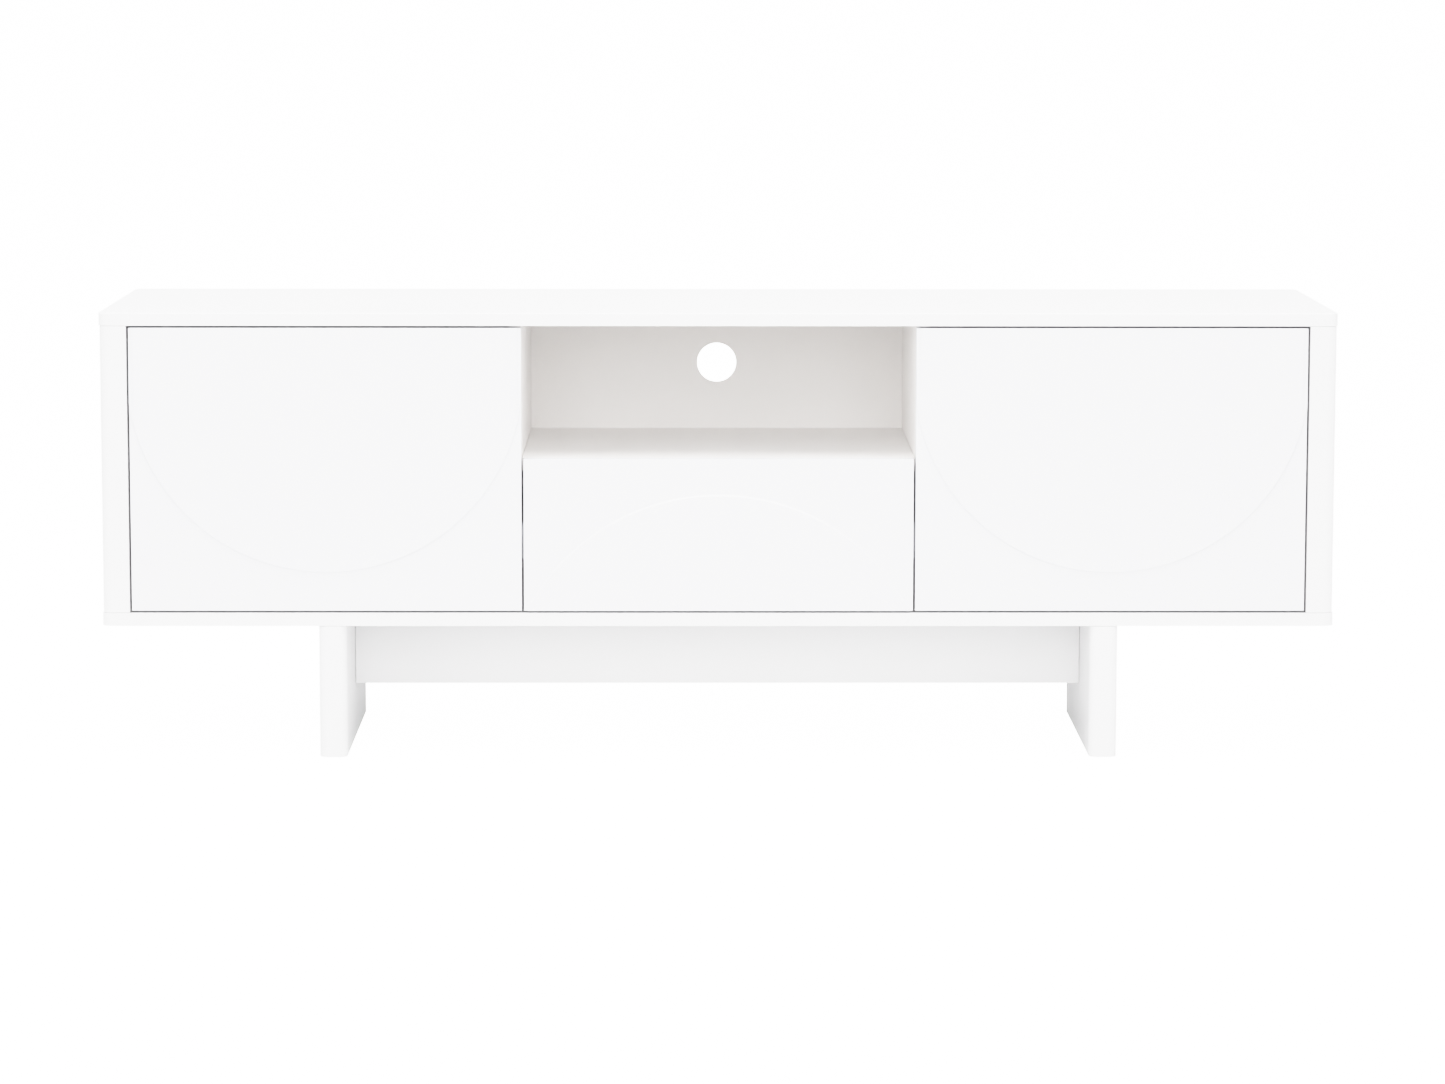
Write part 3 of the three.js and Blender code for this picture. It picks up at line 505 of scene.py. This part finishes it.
def pin_holes(face_x, into, pin_nodes):
    """Bores with flared mouths in a board's face, one column at each pin and one hole above and below it."""
    profile = [
        (0, -OVERCUT),
        (PIN_HOLE_RADIUS + HOLE_FLARE + OVERCUT, -OVERCUT),
        (PIN_HOLE_RADIUS, HOLE_FLARE),
        (PIN_HOLE_RADIUS, PIN_HOLE_DEPTH),
        (0, PIN_HOLE_DEPTH),
    ]
    reach = np.array(profile) * [1, into]
    holes = []
    for node in pin_nodes:
        low, high = corners_of(node)
        middle = (low + high) / 2
        for step in (-1, 0, 1):
            place = (face_x, middle[1], middle[2] + step * PIN_HOLE_PITCH)
            holes.append(turned("pin hole", reach, place, "x", PIN_HOLE_SIDES))
    return holes


def gathered(name, shapes):
    """One piece made of several separate shells, which are used up."""
    whole = bmesh.new()
    for shape in shapes:
        whole.from_mesh(shape.data)
        bpy.data.objects.remove(shape)
    mesh = bpy.data.meshes.new(name)
    whole.to_mesh(mesh)
    whole.free()
    piece = bpy.data.objects.new(name, mesh)
    bpy.context.scene.collection.objects.link(piece)
    return piece


def cam_caps(name, face_x, outwards, low, high):
    """Four thin domed caps on a board's face, near its upper and lower ends."""
    dome = eased(
        [
            (CAP_RADIUS, 0),
            (CAP_RADIUS, CAP_RIM_HEIGHT),
            (CAP_CROWN_RADIUS, CAP_HEIGHT),
            (0, CAP_HEIGHT),
        ],
        CAP_ROUNDING,
    )
    profile = np.concatenate([[(0, 0)], dome]) * [1, outwards]
    caps = []
    for y in (low[1] + CAP_FROM_FRONT, high[1] - CAP_FROM_REAR):
        for z in (low[2] + CAP_FROM_END, high[2] - CAP_FROM_END):
            caps.append(turned("cap", profile, (face_x, y, z), "x", CAP_SIDES))
    return gathered(name, caps)


cap_plastic = finish_of(
    "white cap plastic",
    (0.84, 0.84, 0.83),
    (0.82, 0.82, 0.815),
    (0.86, 0.86, 0.86),
    {"Grain": 1800.0, "Wave": 60.0, "Smooth": 0.4, "Rough": 0.5, "Patch": 30.0, "Speck": 2500.0},
    relief_height=0.00002,
)

for hand, sign in (("left", -1), ("right", 1)):
    low, high = corners_of(f"{hand}_side")
    inner_x = low[0] if sign > 0 else high[0]
    outside = (0, BOARD_CORNER, BOARD_CORNER, 0) if sign > 0 else (BOARD_CORNER, 0, 0, BOARD_CORNER)
    side_board = board(f"{hand}_side_board", (low, high), BROKEN_EDGE, outside, steps=CORNER_STEPS)
    pins = (f"{hand}_outer_front_shelf_pin", f"{hand}_outer_rear_shelf_pin")
    bores = pin_holes(inner_x, sign, pins)
    cut_away(side_board, [*bores, groove_for(f"{hand}_back_panel")])
    finished(side_board, lacquer, "white_lacquer", "root", f"{hand}_side")
    caps = cam_caps(f"{hand}_side_cam_caps", inner_x, -sign, low, high)
    finished(caps, cap_plastic, "grey_plastic", "root")

# ---------------------------------------------------------------- partitions and niche shelf
# 16 mm chipboard faced with white melamine, its edges banded. The partitions stand between the slabs
# and are bored and grooved as the sides are; the niche shelf is dowelled between them.
melamine = finish_of(
    "white melamine",
    (0.9, 0.872, 0.85),
    (0.885, 0.86, 0.84),
    (0.91, 0.885, 0.865),
    {"Grain": 1500.0, "Wave": 240.0, "Smooth": 0.42, "Rough": 0.54, "Patch": 9.0, "Speck": 2200.0},
    relief_height=0.00003,
)
for hand, sign in (("left", -1), ("right", 1)):
    low, high = corners_of(f"{hand}_partition")
    outer_x = high[0] if sign > 0 else low[0]
    upright = board(f"{hand}_partition_board", (low, high), BROKEN_EDGE)
    pins = (f"{hand}_inner_front_shelf_pin", f"{hand}_inner_rear_shelf_pin")
    bores = pin_holes(outer_x, -sign, pins)
    grooves = [groove_for(back) for back in (f"{hand}_back_panel", "center_back_panel")]
    cut_away(upright, [*bores, *grooves])
    finished(upright, melamine, "white_melamine", "root", f"{hand}_partition")
    caps = cam_caps(f"{hand}_partition_cam_caps", outer_x, sign, low, high)
    finished(caps, cap_plastic, "grey_plastic", "root")

niche_shelf = board("niche_shelf_board", corners_of("niche_shelf"), BROKEN_EDGE)
finished(niche_shelf, melamine, "white_melamine", "root", "niche_shelf")

# ---------------------------------------------------------------- back panels
# Three 4 mm hardboard panels with a white foil, let into the boards' grooves as the cabinet is put
# together. The middle one has a round hole for cables behind the niche, with a softly broken rim.
CABLE_HOLE_RADIUS = 0.025
CABLE_HOLE_BELOW_TOP = 0.077
CABLE_HOLE_SIDES = 72
RIM = 0.0006
SHEET_EDGE = 0.0002

hardboard = finish_of(
    "white foiled hardboard",
    (0.895, 0.862, 0.836),
    (0.88, 0.85, 0.825),
    (0.9, 0.87, 0.845),
    {"Grain": 700.0, "Wave": 90.0, "Smooth": 0.48, "Rough": 0.6, "Patch": 6.0, "Speck": 1600.0},
    relief_height=0.00003,
    stretch=(1.0, 1.0, 0.35),
)
for back in back_panels:
    panel = board(back + "_sheet", corners_of(back), SHEET_EDGE, flat="y")
    if back == "center_back_panel":
        low, high = corners_of(back)
        top_under = corners_of("top_panel")[0][2]
        half = (high[1] - low[1]) / 2
        flare = CABLE_HOLE_RADIUS + RIM + OVERCUT
        bore = eased(
            [
                (flare, -half - OVERCUT),
                (CABLE_HOLE_RADIUS, RIM - half),
                (CABLE_HOLE_RADIUS, half - RIM),
                (flare, half + OVERCUT),
            ],
            RIM,
        )
        bore = np.concatenate([[(0, -half - OVERCUT)], bore, [(0, half + OVERCUT)]])
        place = (0, (low[1] + high[1]) / 2, top_under - CABLE_HOLE_BELOW_TOP)
        cut_away(panel, [turned("cable hole", bore, place, "y", CABLE_HOLE_SIDES)])
    finished(panel, hardboard, "white_hardboard", "root", back)

# ---------------------------------------------------------------- shelves behind the doors
# Loose 16 mm melamine boards with banded edges. Each lies on four turned, nickel-plated pins: a shank
# in the bore, a collar on the board's face and a stub with a domed end under the shelf.
PIN_RADIUS = 0.0025
PIN_ROUNDING = 0.0005
PIN_SIDES = 28
COLLAR_RADIUS = 0.004
COLLAR_START = 0.00015
COLLAR_END = 0.00115

nickel = finish_of(
    "nickel plate",
    (0.71, 0.69, 0.66),
    (0.66, 0.645, 0.62),
    (0.78, 0.76, 0.73),
    {"Grain": 500.0, "Wave": 45.0, "Smooth": 0.2, "Rough": 0.34, "Patch": 40.0, "Speck": 1500.0},
    metallic=1.0,
    relief_height=0.00002,
    stretch=(1.0, 1.0, 0.2),
)
for hand in ("left", "right"):
    shelf = board(f"{hand}_shelf_board", corners_of(f"{hand}_shelf"), BROKEN_EDGE)
    finished(shelf, melamine, "white_melamine", "root", f"{hand}_shelf")
    for row in ("outer_front", "outer_rear", "inner_front", "inner_rear"):
        node = f"{hand}_{row}_shelf_pin"
        low, high = corners_of(node)
        middle = (low + high) / 2
        half = (high[0] - low[0]) / 2
        into_space = 1 if (hand == "left") == row.startswith("outer") else -1
        profile = eased(
            [
                (0, -half),
                (PIN_RADIUS, -half),
                (PIN_RADIUS, COLLAR_START),
                (COLLAR_RADIUS, COLLAR_START),
                (COLLAR_RADIUS, COLLAR_END),
                (PIN_RADIUS, COLLAR_END),
                (PIN_RADIUS, half),
                (0, half),
            ],
            PIN_ROUNDING,
        )
        pin = turned(node + "_turned", profile * [1, into_space], middle, "x", PIN_SIDES)
        finished(pin, nickel, "nickel_plate", "root", node)

# ---------------------------------------------------------------- legs and stretcher
# Two 34 mm lacquered slab legs with rounded upright edges, and a stretcher of the same board between
# them. Pan-head bolts with washers reach down into each leg through the bottom panel.
LEG_CORNER = 0.010
LEG_FOOT_EDGE = 0.0012
LEG_CORNER_STEPS = 10
BOLT_HEAD_RADIUS = 0.0055
BOLT_HEAD_HEIGHT = 0.0032
BOLT_RECESS = 0.0022
BOLTS_PER_LEG = 3
BOLT_FROM_END = 0.06
WASHER_RADIUS = 0.009
WASHER_THICKNESS = 0.0012
WASHER_SIDES = 36

# A screw head's section and rounding, and the long and the narrow side of its recess's bars, all in
# parts of the head's radius, apart from the section's heights, which are in parts of its height.
HEAD_SECTION = np.array([(0, 0), (1, 0), (1, 0.45), (0.7, 0.93), (0, 1)])
HEAD_ROUNDING = 0.2
HEAD_SIDES = 28
RECESS_LONG = 0.62
RECESS_NARROW = 0.13


def pan_head(name, radius, height, recess, washer=None):
    """A screw head about the origin, pointing up: a low dome, turned, with a crossed recess cut in it
    and, if a washer is wanted, a flat ring below."""
    profile = eased(HEAD_SECTION * [radius, height], HEAD_ROUNDING * radius)
    head = turned(name, profile, (0, 0, 0), "z", HEAD_SIDES)
    bars = []
    for half_x, half_y in ((RECESS_LONG, RECESS_NARROW), (RECESS_NARROW, RECESS_LONG)):
        half = np.array([half_x, half_y, 0]) * radius
        box = (-half + [0, 0, height - recess], half + [0, 0, height + OVERCUT])
        bars.append(board("recess", box, 0.0))
    cut_away(head, bars)
    if washer is None:
        return head
    ring_radius, thickness = washer
    section = [(0, 0), (ring_radius, 0), (ring_radius, thickness), (0, thickness)]
    ring = turned("washer", section, (0, 0, 0), "z", WASHER_SIDES)
    head.data.transform(Matrix.Translation((0, 0, thickness)))
    return gathered(name, [head, ring])


def screws(name, head, places, towards):
    """One piece with a copy of the head at each place, its top facing along the direction."""
    aim = Vector(towards).to_track_quat("Z", "Y").to_matrix().to_4x4()
    copies = []
    for place in places:
        copy = bpy.data.objects.new("screw", head.data.copy())
        copy.data.transform(Matrix.Translation(place) @ aim)
        copies.append(copy)
    return gathered(name, copies)


for hand in ("left", "right"):
    low, high = corners_of(f"{hand}_leg")
    edges = (LEG_FOOT_EDGE, BROKEN_EDGE)
    leg = board(f"{hand}_leg_board", (low, high), edges, LEG_CORNER, steps=LEG_CORNER_STEPS)
    finished(leg, lacquer, "white_lacquer", "root", f"{hand}_leg")
    panel_top = corners_of("bottom_panel")[1][2]
    washer = (WASHER_RADIUS, WASHER_THICKNESS)
    bolt = pan_head("bolt", BOLT_HEAD_RADIUS, BOLT_HEAD_HEIGHT, BOLT_RECESS, washer)
    rows = np.linspace(low[1] + BOLT_FROM_END, high[1] - BOLT_FROM_END, BOLTS_PER_LEG)
    places = [((low[0] + high[0]) / 2, y, panel_top) for y in rows]
    bolts = screws(f"{hand}_leg_bolts", bolt, places, (0, 0, 1))
    bpy.data.objects.remove(bolt)
    finished(bolts, nickel, "nickel_plate", "root")

stretcher = board("stretcher_board", corners_of("stretcher"), BROKEN_EDGE)
finished(stretcher, lacquer, "white_lacquer", "root", "stretcher")

# ---------------------------------------------------------------- doors
# Each door is one lacquered 18 mm board. Its face is milled back 2 mm below a large arc with a sloped
# cutter, which leaves a raised field with a soft edge; the back has two blind bores for the hinge cups.
STEP = 0.002
SLOPE_START = -0.0013
SLOPE_ROUNDING = 0.0007
SLOPE_ANGLE = 45
FRONT_EDGE = 0.0009
BACK_EDGE = 0.0005
ARC_OVERSIZE = 0.0028
ARC_FOOT = 0.047
CUP_PLAY = 0.0003
CUP_BORE_SIDES = 64
FRONT_COLUMNS = 140
SAME_COLUMN_DECIMALS = 7

# The third colour, far lighter than the other two, lies along the fronts' worn edges and, along the milled
# lip, is a painted highlight.
front_lacquer = finish_of(
    "satin white front lacquer",
    (0.735, 0.735, 0.762),
    (0.723, 0.723, 0.75),
    (0.9, 0.9, 0.9),
    {"Grain": 380.0, "Wave": 13.0, "Smooth": 0.36, "Rough": 0.45, "Patch": 4.0, "Speck": 1200.0},
)

# The milled step's section: distance from the arc (towards the milled side) and depth below the field.
# A slope runs from the field down to the step, with an arc of SLOPE_ROUNDING blended in at each end.
bend = np.radians(np.linspace(0, SLOPE_ANGLE, 5))
blend = SLOPE_ROUNDING * math.tan(math.radians(SLOPE_ANGLE / 2))
bend_away = SLOPE_ROUNDING * np.sin(bend) - blend
bend_depth = SLOPE_ROUNDING * (1 - np.cos(bend))
step_away = np.concatenate([SLOPE_START + bend_away, SLOPE_START + STEP - bend_away[::-1]])
step_depth = np.concatenate([bend_depth, STEP - bend_depth[::-1]])


def milled_front(name, box, middle_x, centre_z, radius, bulge):
    """A front board whose raised field is bounded by one circle. Columns stand at x = middle +
    radius sin t; rows follow circles that lie d outside it, z = centre + bulge sqrt((radius + d)^2 -
    (x - middle)^2), held between the board's ends; a point's depth is the step's depth at its own d.
    Round the face, rings run over a quarter-circle edge to the back: out = e sin t, back = e(1 - cos t)."""
    low, high = box
    x0, x1 = low[0] + FRONT_EDGE, high[0] - FRONT_EDGE
    z0, z1 = low[2] + FRONT_EDGE, high[2] - FRONT_EDGE
    widest = math.asin(min(1, (x1 - middle_x) / radius))
    across = middle_x + radius * np.sin(np.linspace(-widest, widest, FRONT_COLUMNS))
    circles = radius + step_away
    meets = np.sqrt(np.maximum(circles**2 - (z0 - centre_z) ** 2, 0))
    across = np.concatenate([across, middle_x - meets, middle_x + meets, [x0, x1]])
    across = across[(across >= x0) & (across <= x1)]
    across = np.unique(np.round(across, SAME_COLUMN_DECIMALS))
    reach = np.sqrt(np.maximum(circles[:, None] ** 2 - (across - middle_x) ** 2, 0))
    levels = np.sort(np.clip(centre_z + bulge * reach, z0, z1), axis=0)
    ends = np.ones((1, len(across)))
    levels = np.concatenate([z0 * ends, levels, z1 * ends])
    away = np.hypot(across - middle_x, levels - centre_z) - radius
    depth = np.interp(away, step_away, step_depth)
    face = np.stack([np.broadcast_to(across, levels.shape), low[1] + depth, levels], axis=-1)
    # Painted highlight: a mask, largest where the raised field turns down into the slope, that lays the
    # lighter third colour along the milled lip.
    lip_highlight = np.exp(-(((away - SLOPE_START) / SLOPE_ROUNDING) ** 2))
    sides = (face[0], face[:, -1], face[-1, ::-1], face[::-1, 0])
    rim = []
    outwards = []
    for quarter, side in enumerate(sides):
        straight = math.pi * (quarter - 1) / 2
        corner = straight + QUARTER_TURN[1:-1]
        rim += [side, np.repeat(side[-1:], len(corner), axis=0)]
        outwards += [np.full(len(side), straight), corner]
    rim = np.concatenate([*rim, face[:1, 0]])
    outwards = np.concatenate([*outwards, [-math.pi / 2]])
    normal = np.stack([np.cos(outwards), np.zeros(len(rim)), np.sin(outwards)], axis=-1)
    rings = []
    for t in QUARTER_TURN:
        rings.append(rim + FRONT_EDGE * (np.sin(t) * normal + (1 - np.cos(t)) * np.array([0, 1, 0])))
    for t in QUARTER_TURN:
        ring = rim + (FRONT_EDGE - BACK_EDGE * (1 - np.cos(t))) * normal
        ring[:, 1] = high[1] - BACK_EDGE * (1 - np.sin(t))
        rings.append(ring)
    edge = np.stack(rings)
    worn = np.sin(2 * np.tile(QUARTER_TURN, 2))
    worn = np.repeat(worn[:, None], edge.shape[1], axis=1)
    return mesh_from(name, [face, edge], [edge[-1, :-1]], [lip_highlight, worn])


for hand in ("left", "right"):
    low, high = corners_of(f"{hand}_door")
    middle = (low[0] + high[0]) / 2
    arc = (high[0] - low[0]) / 2 + ARC_OVERSIZE
    door = milled_front(f"{hand}_door_board", (low, high), middle, low[2] + ARC_FOOT + arc, arc, -1)
    bores = []
    for level in ("upper", "lower"):
        cup_low, cup_high = corners_of(f"{hand}_{level}_hinge_cup")
        place = (cup_low + cup_high) / 2
        place[1] = cup_low[1] - CUP_PLAY
        bore_radius = (cup_high[0] - cup_low[0]) / 2 + CUP_PLAY
        length = high[1] + OVERCUT - place[1]
        profile = [(0, 0), (bore_radius, 0), (bore_radius, length), (0, length)]
        bores.append(turned("cup bore", profile, place, "y", CUP_BORE_SIDES))
    cut_away(door, bores)
    finished(door, front_lacquer, "front_lacquer", f"{hand}_door", f"{hand}_door")

# ---------------------------------------------------------------- drawer
# The front is milled as the doors are, under an arch that stands on its lower edge. Behind it, 12 mm
# melamine boards with rounded upper edges make the box, and a 4 mm hardboard bottom lies in a groove.
ARCH_RISE = 0.142
ARCH_INSET = 0.003
DRAWER_TOP_EDGE = 0.0022

low, high = corners_of("drawer_front")
half_chord = (high[0] - low[0]) / 2 - ARCH_INSET
arch = (half_chord**2 + ARCH_RISE**2) / (2 * ARCH_RISE)
drawer_front = milled_front("drawer_front_board", (low, high), 0, low[2] + ARCH_RISE - arch, arch, 1)
cut_away(drawer_front, [groove_for("drawer_bottom")])
finished(drawer_front, front_lacquer, "front_lacquer", "drawer", "drawer_front")

for node in ("drawer_left_side", "drawer_right_side", "drawer_back"):
    wall = board(node + "_board", corners_of(node), (BROKEN_EDGE, DRAWER_TOP_EDGE))
    if node != "drawer_back":
        cut_away(wall, [groove_for("drawer_bottom")])
    finished(wall, melamine, "white_melamine", "drawer", node)
drawer_bottom = board("drawer_bottom_sheet", corners_of("drawer_bottom"), SHEET_EDGE)
finished(drawer_bottom, hardboard, "white_hardboard", "drawer", "drawer_bottom")

# ---------------------------------------------------------------- drawer runners
# Three nested channels of bent, zinc-plated steel on each side: one fixed to the partition, one that
# floats half way, and one held to the drawer's side by three cross-head screws.
SHEET = 0.0012
BEND = 0.0014
RUNNER_SCREW_RADIUS = 0.0035
RUNNER_SCREW_HEIGHT = 0.0016
RUNNER_SCREW_ROWS = np.array([0.03, 0.15, 0.27])
SCREW_RECESS = 0.001

zinc = finish_of(
    "zinc plate",
    (0.64, 0.66, 0.69),
    (0.56, 0.585, 0.62),
    (0.72, 0.73, 0.75),
    {"Grain": 900.0, "Wave": 70.0, "Smooth": 0.24, "Rough": 0.42, "Patch": 120.0, "Speck": 700.0},
    metallic=1.0,
    relief_height=0.00002,
    stretch=(1.0, 0.08, 1.0),
)


def channel(name, box, web_high):
    """A lying channel carried along Y: its section is a web with two lips, whose bends are eased."""
    low, high = box
    web, lips = (high[0], low[0]) if web_high else (low[0], high[0])
    inner = web + (SHEET if lips > web else -SHEET)
    outline = [
        (web, low[2]),
        (lips, low[2]),
        (lips, low[2] + SHEET),
        (inner, low[2] + SHEET),
        (inner, high[2] - SHEET),
        (lips, high[2] - SHEET),
        (lips, high[2]),
        (web, high[2]),
    ]
    section = eased(outline, BEND, closed=True)
    section = np.concatenate([section, section[:1]])
    grid = np.zeros((2, len(section), 3))
    grid[..., 0] = section[:, 0]
    grid[..., 2] = section[:, 1]
    grid[:, :, 1] = [[low[1]], [high[1]]]
    return mesh_from(name, [grid], [grid[0, :-1], grid[1, :-1]])


for hand, sign in (("left", -1), ("right", 1)):
    members = (("cabinet", "root"), ("middle", f"{hand}_runner_middle"), ("drawer", "drawer"))
    for member, body in members:
        node = f"{hand}_runner_{member}_member"
        web_high = (sign > 0) != (member == "drawer")
        rail = channel(node + "_rail", corners_of(node), web_high)
        finished(rail, zinc, "zinc_plate", body, node)
    low, high = corners_of(f"{hand}_runner_drawer_member")
    web_face = low[0] + SHEET if sign > 0 else high[0] - SHEET
    head = pan_head("screw", RUNNER_SCREW_RADIUS, RUNNER_SCREW_HEIGHT, SCREW_RECESS)
    places = [(web_face, y, (low[2] + high[2]) / 2) for y in low[1] + RUNNER_SCREW_ROWS]
    fixings = screws(f"{hand}_runner_screws", head, places, (sign, 0, 0))
    bpy.data.objects.remove(head)
    finished(fixings, nickel, "nickel_plate", "drawer")

# ---------------------------------------------------------------- concealed hinges
# Nickel-plated steel: a cup pressed into the door, a pin across the cup, a bent arm that ends round
# the pin, and a plate on the side under the arm. Cross-head screws hold the cup's ears and the plate,
# and two more adjust the arm.
EDGE_BREAK = 0.0003
EAR_SCREW_RADIUS = 0.0036
EAR_SCREW_HEIGHT = 0.0016
EAR_SCREW_SPREAD = 0.0226
PLATE_SCREW_SPREAD = 0.017
ADJUSTER_LIFT = 0.0103
ADJUSTERS_FROM_REAR = (0.008, 0.030)
HINGE_PIN_RADIUS = 0.00125
HINGE_PIN_ROUNDING = 0.0004
HINGE_PIN_SIDES = 24
NEARLY_FLAT = math.radians(0.5)


def eased_copy(name, node, width):
    """A copy of a CAD node with its loose triangles welded, flat neighbours merged, and its sharp
    edges beveled by width."""
    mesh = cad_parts[node].data.copy()
    mesh.name = name
    shell = bmesh.new()
    shell.from_mesh(mesh)
    bmesh.ops.remove_doubles(shell, verts=shell.verts, dist=WELD)
    bmesh.ops.dissolve_limit(shell, angle_limit=NEARLY_FLAT, verts=shell.verts, edges=shell.edges)
    shell.to_mesh(mesh)
    shell.free()
    piece = bpy.data.objects.new(name, mesh)
    bpy.context.scene.collection.objects.link(piece)
    bevel = piece.modifiers.new("broken edges", "BEVEL")
    bevel.width = width
    bevel.segments = 2
    bevel.limit_method = "ANGLE"
    bevel.angle_limit = SMOOTH_UNDER
    return applied(piece)


for hand, sign in (("left", -1), ("right", 1)):
    door_body = f"{hand}_door"
    for level in ("upper", "lower"):
        stem = f"{hand}_{level}_hinge"
        for part, body in (("cup", door_body), ("arm", "root"), ("plate", "root")):
            shape = eased_copy(f"{stem}_{part}_pressing", f"{stem}_{part}", EDGE_BREAK)
            finished(shape, nickel, "nickel_plate", body, f"{stem}_{part}")
        low, high = corners_of(f"{stem}_pin")
        pivot = (low + high) / 2
        half = (high[2] - low[2]) / 2
        outline = [(0, -half), (HINGE_PIN_RADIUS, -half), (HINGE_PIN_RADIUS, half), (0, half)]
        profile = eased(outline, HINGE_PIN_ROUNDING)
        axle = turned(f"{stem}_pin_turned", profile, pivot, "z", HINGE_PIN_SIDES)
        finished(axle, nickel, "nickel_plate", door_body, f"{stem}_pin")
        ear_top = corners_of(f"{stem}_cup")[1][1]
        ears = [(pivot[0], ear_top, pivot[2] + end * EAR_SCREW_SPREAD) for end in (-1, 1)]
        head = pan_head("screw", EAR_SCREW_RADIUS, EAR_SCREW_HEIGHT, SCREW_RECESS)
        cup_screws = screws(f"{stem}_cup_screws", head, ears, (0, 1, 0))
        finished(cup_screws, nickel, "nickel_plate", door_body)
        low, high = corners_of(f"{stem}_plate")
        face_x = low[0] if sign > 0 else high[0]
        middle_y = (low[1] + high[1]) / 2
        holes = [(face_x, middle_y, pivot[2] + end * PLATE_SCREW_SPREAD) for end in (-1, 1)]
        plate_screws = screws(f"{stem}_plate_screws", head, holes, (-sign, 0, 0))
        finished(plate_screws, nickel, "nickel_plate", "root")
        arm_top = face_x - sign * ADJUSTER_LIFT
        arm_rear = corners_of(f"{stem}_arm")[1][1]
        spots = [(arm_top, arm_rear - back, pivot[2]) for back in ADJUSTERS_FROM_REAR]
        adjusters = screws(f"{stem}_adjusting_screws", head, spots, (-sign, 0, 0))
        finished(adjusters, nickel, "nickel_plate", "root")
        bpy.data.objects.remove(head)

# ---------------------------------------------------------------- push latches
# Sprung plungers in moulded housings, screwed up under the top panel behind each door and under the
# niche shelf behind the drawer. Each door has a small steel strike where its plunger touches.
HOUSING_EDGE = 0.0006
PLUNGER_RADIUS = 0.004
PLUNGER_HEAD_RADIUS = 0.0048
PLUNGER_HEAD = 0.0025
PLUNGER_ROUNDING = 0.0008
PLUNGER_SIDES = 32
STRIKE_ROUNDING = 0.0005
STRIKE_SIDES = 40

grey_plastic = finish_of(
    "grey moulded plastic",
    (0.60, 0.60, 0.595),
    (0.56, 0.56, 0.56),
    (0.68, 0.68, 0.68),
    {"Grain": 1600.0, "Wave": 80.0, "Smooth": 0.42, "Rough": 0.55, "Patch": 30.0, "Speck": 2400.0},
    relief_height=0.00003,
)
dark_plastic = finish_of(
    "dark moulded plastic",
    (0.16, 0.16, 0.165),
    (0.13, 0.13, 0.135),
    (0.28, 0.28, 0.28),
    {"Grain": 1600.0, "Wave": 80.0, "Smooth": 0.38, "Rough": 0.5, "Patch": 30.0, "Speck": 2400.0},
    relief_height=0.00003,
)


def front_middle(low, high):
    """The middle of a box's front face."""
    return np.array([(low[0] + high[0]) / 2, low[1], (low[2] + high[2]) / 2])


for stem in ("left_latch", "right_latch", "drawer_latch"):
    housing = eased_copy(f"{stem}_housing_moulding", f"{stem}_housing", HOUSING_EDGE)
    finished(housing, grey_plastic, "grey_plastic", "root", f"{stem}_housing")
    low, high = corners_of(f"{stem}_plunger")
    length = high[1] - low[1]
    profile = eased(
        [
            (0, 0),
            (PLUNGER_HEAD_RADIUS, 0),
            (PLUNGER_HEAD_RADIUS, PLUNGER_HEAD),
            (PLUNGER_RADIUS, PLUNGER_HEAD),
            (PLUNGER_RADIUS, length),
            (0, length),
        ],
        PLUNGER_ROUNDING,
    )
    plunger = turned(f"{stem}_plunger_turned", profile, front_middle(low, high), "y", PLUNGER_SIDES)
    finished(plunger, dark_plastic, "dark_plastic", f"{stem}_plunger", f"{stem}_plunger")

for hand in ("left", "right"):
    low, high = corners_of(f"{hand}_door_strike")
    radius = (high[0] - low[0]) / 2
    thick = high[1] - low[1]
    profile = eased([(0, 0), (radius, 0), (radius, thick), (0, thick)], STRIKE_ROUNDING)
    strike = turned(f"{hand}_door_strike_disc", profile, front_middle(low, high), "y", STRIKE_SIDES)
    finished(strike, zinc, "zinc_plate", f"{hand}_door", f"{hand}_door_strike")
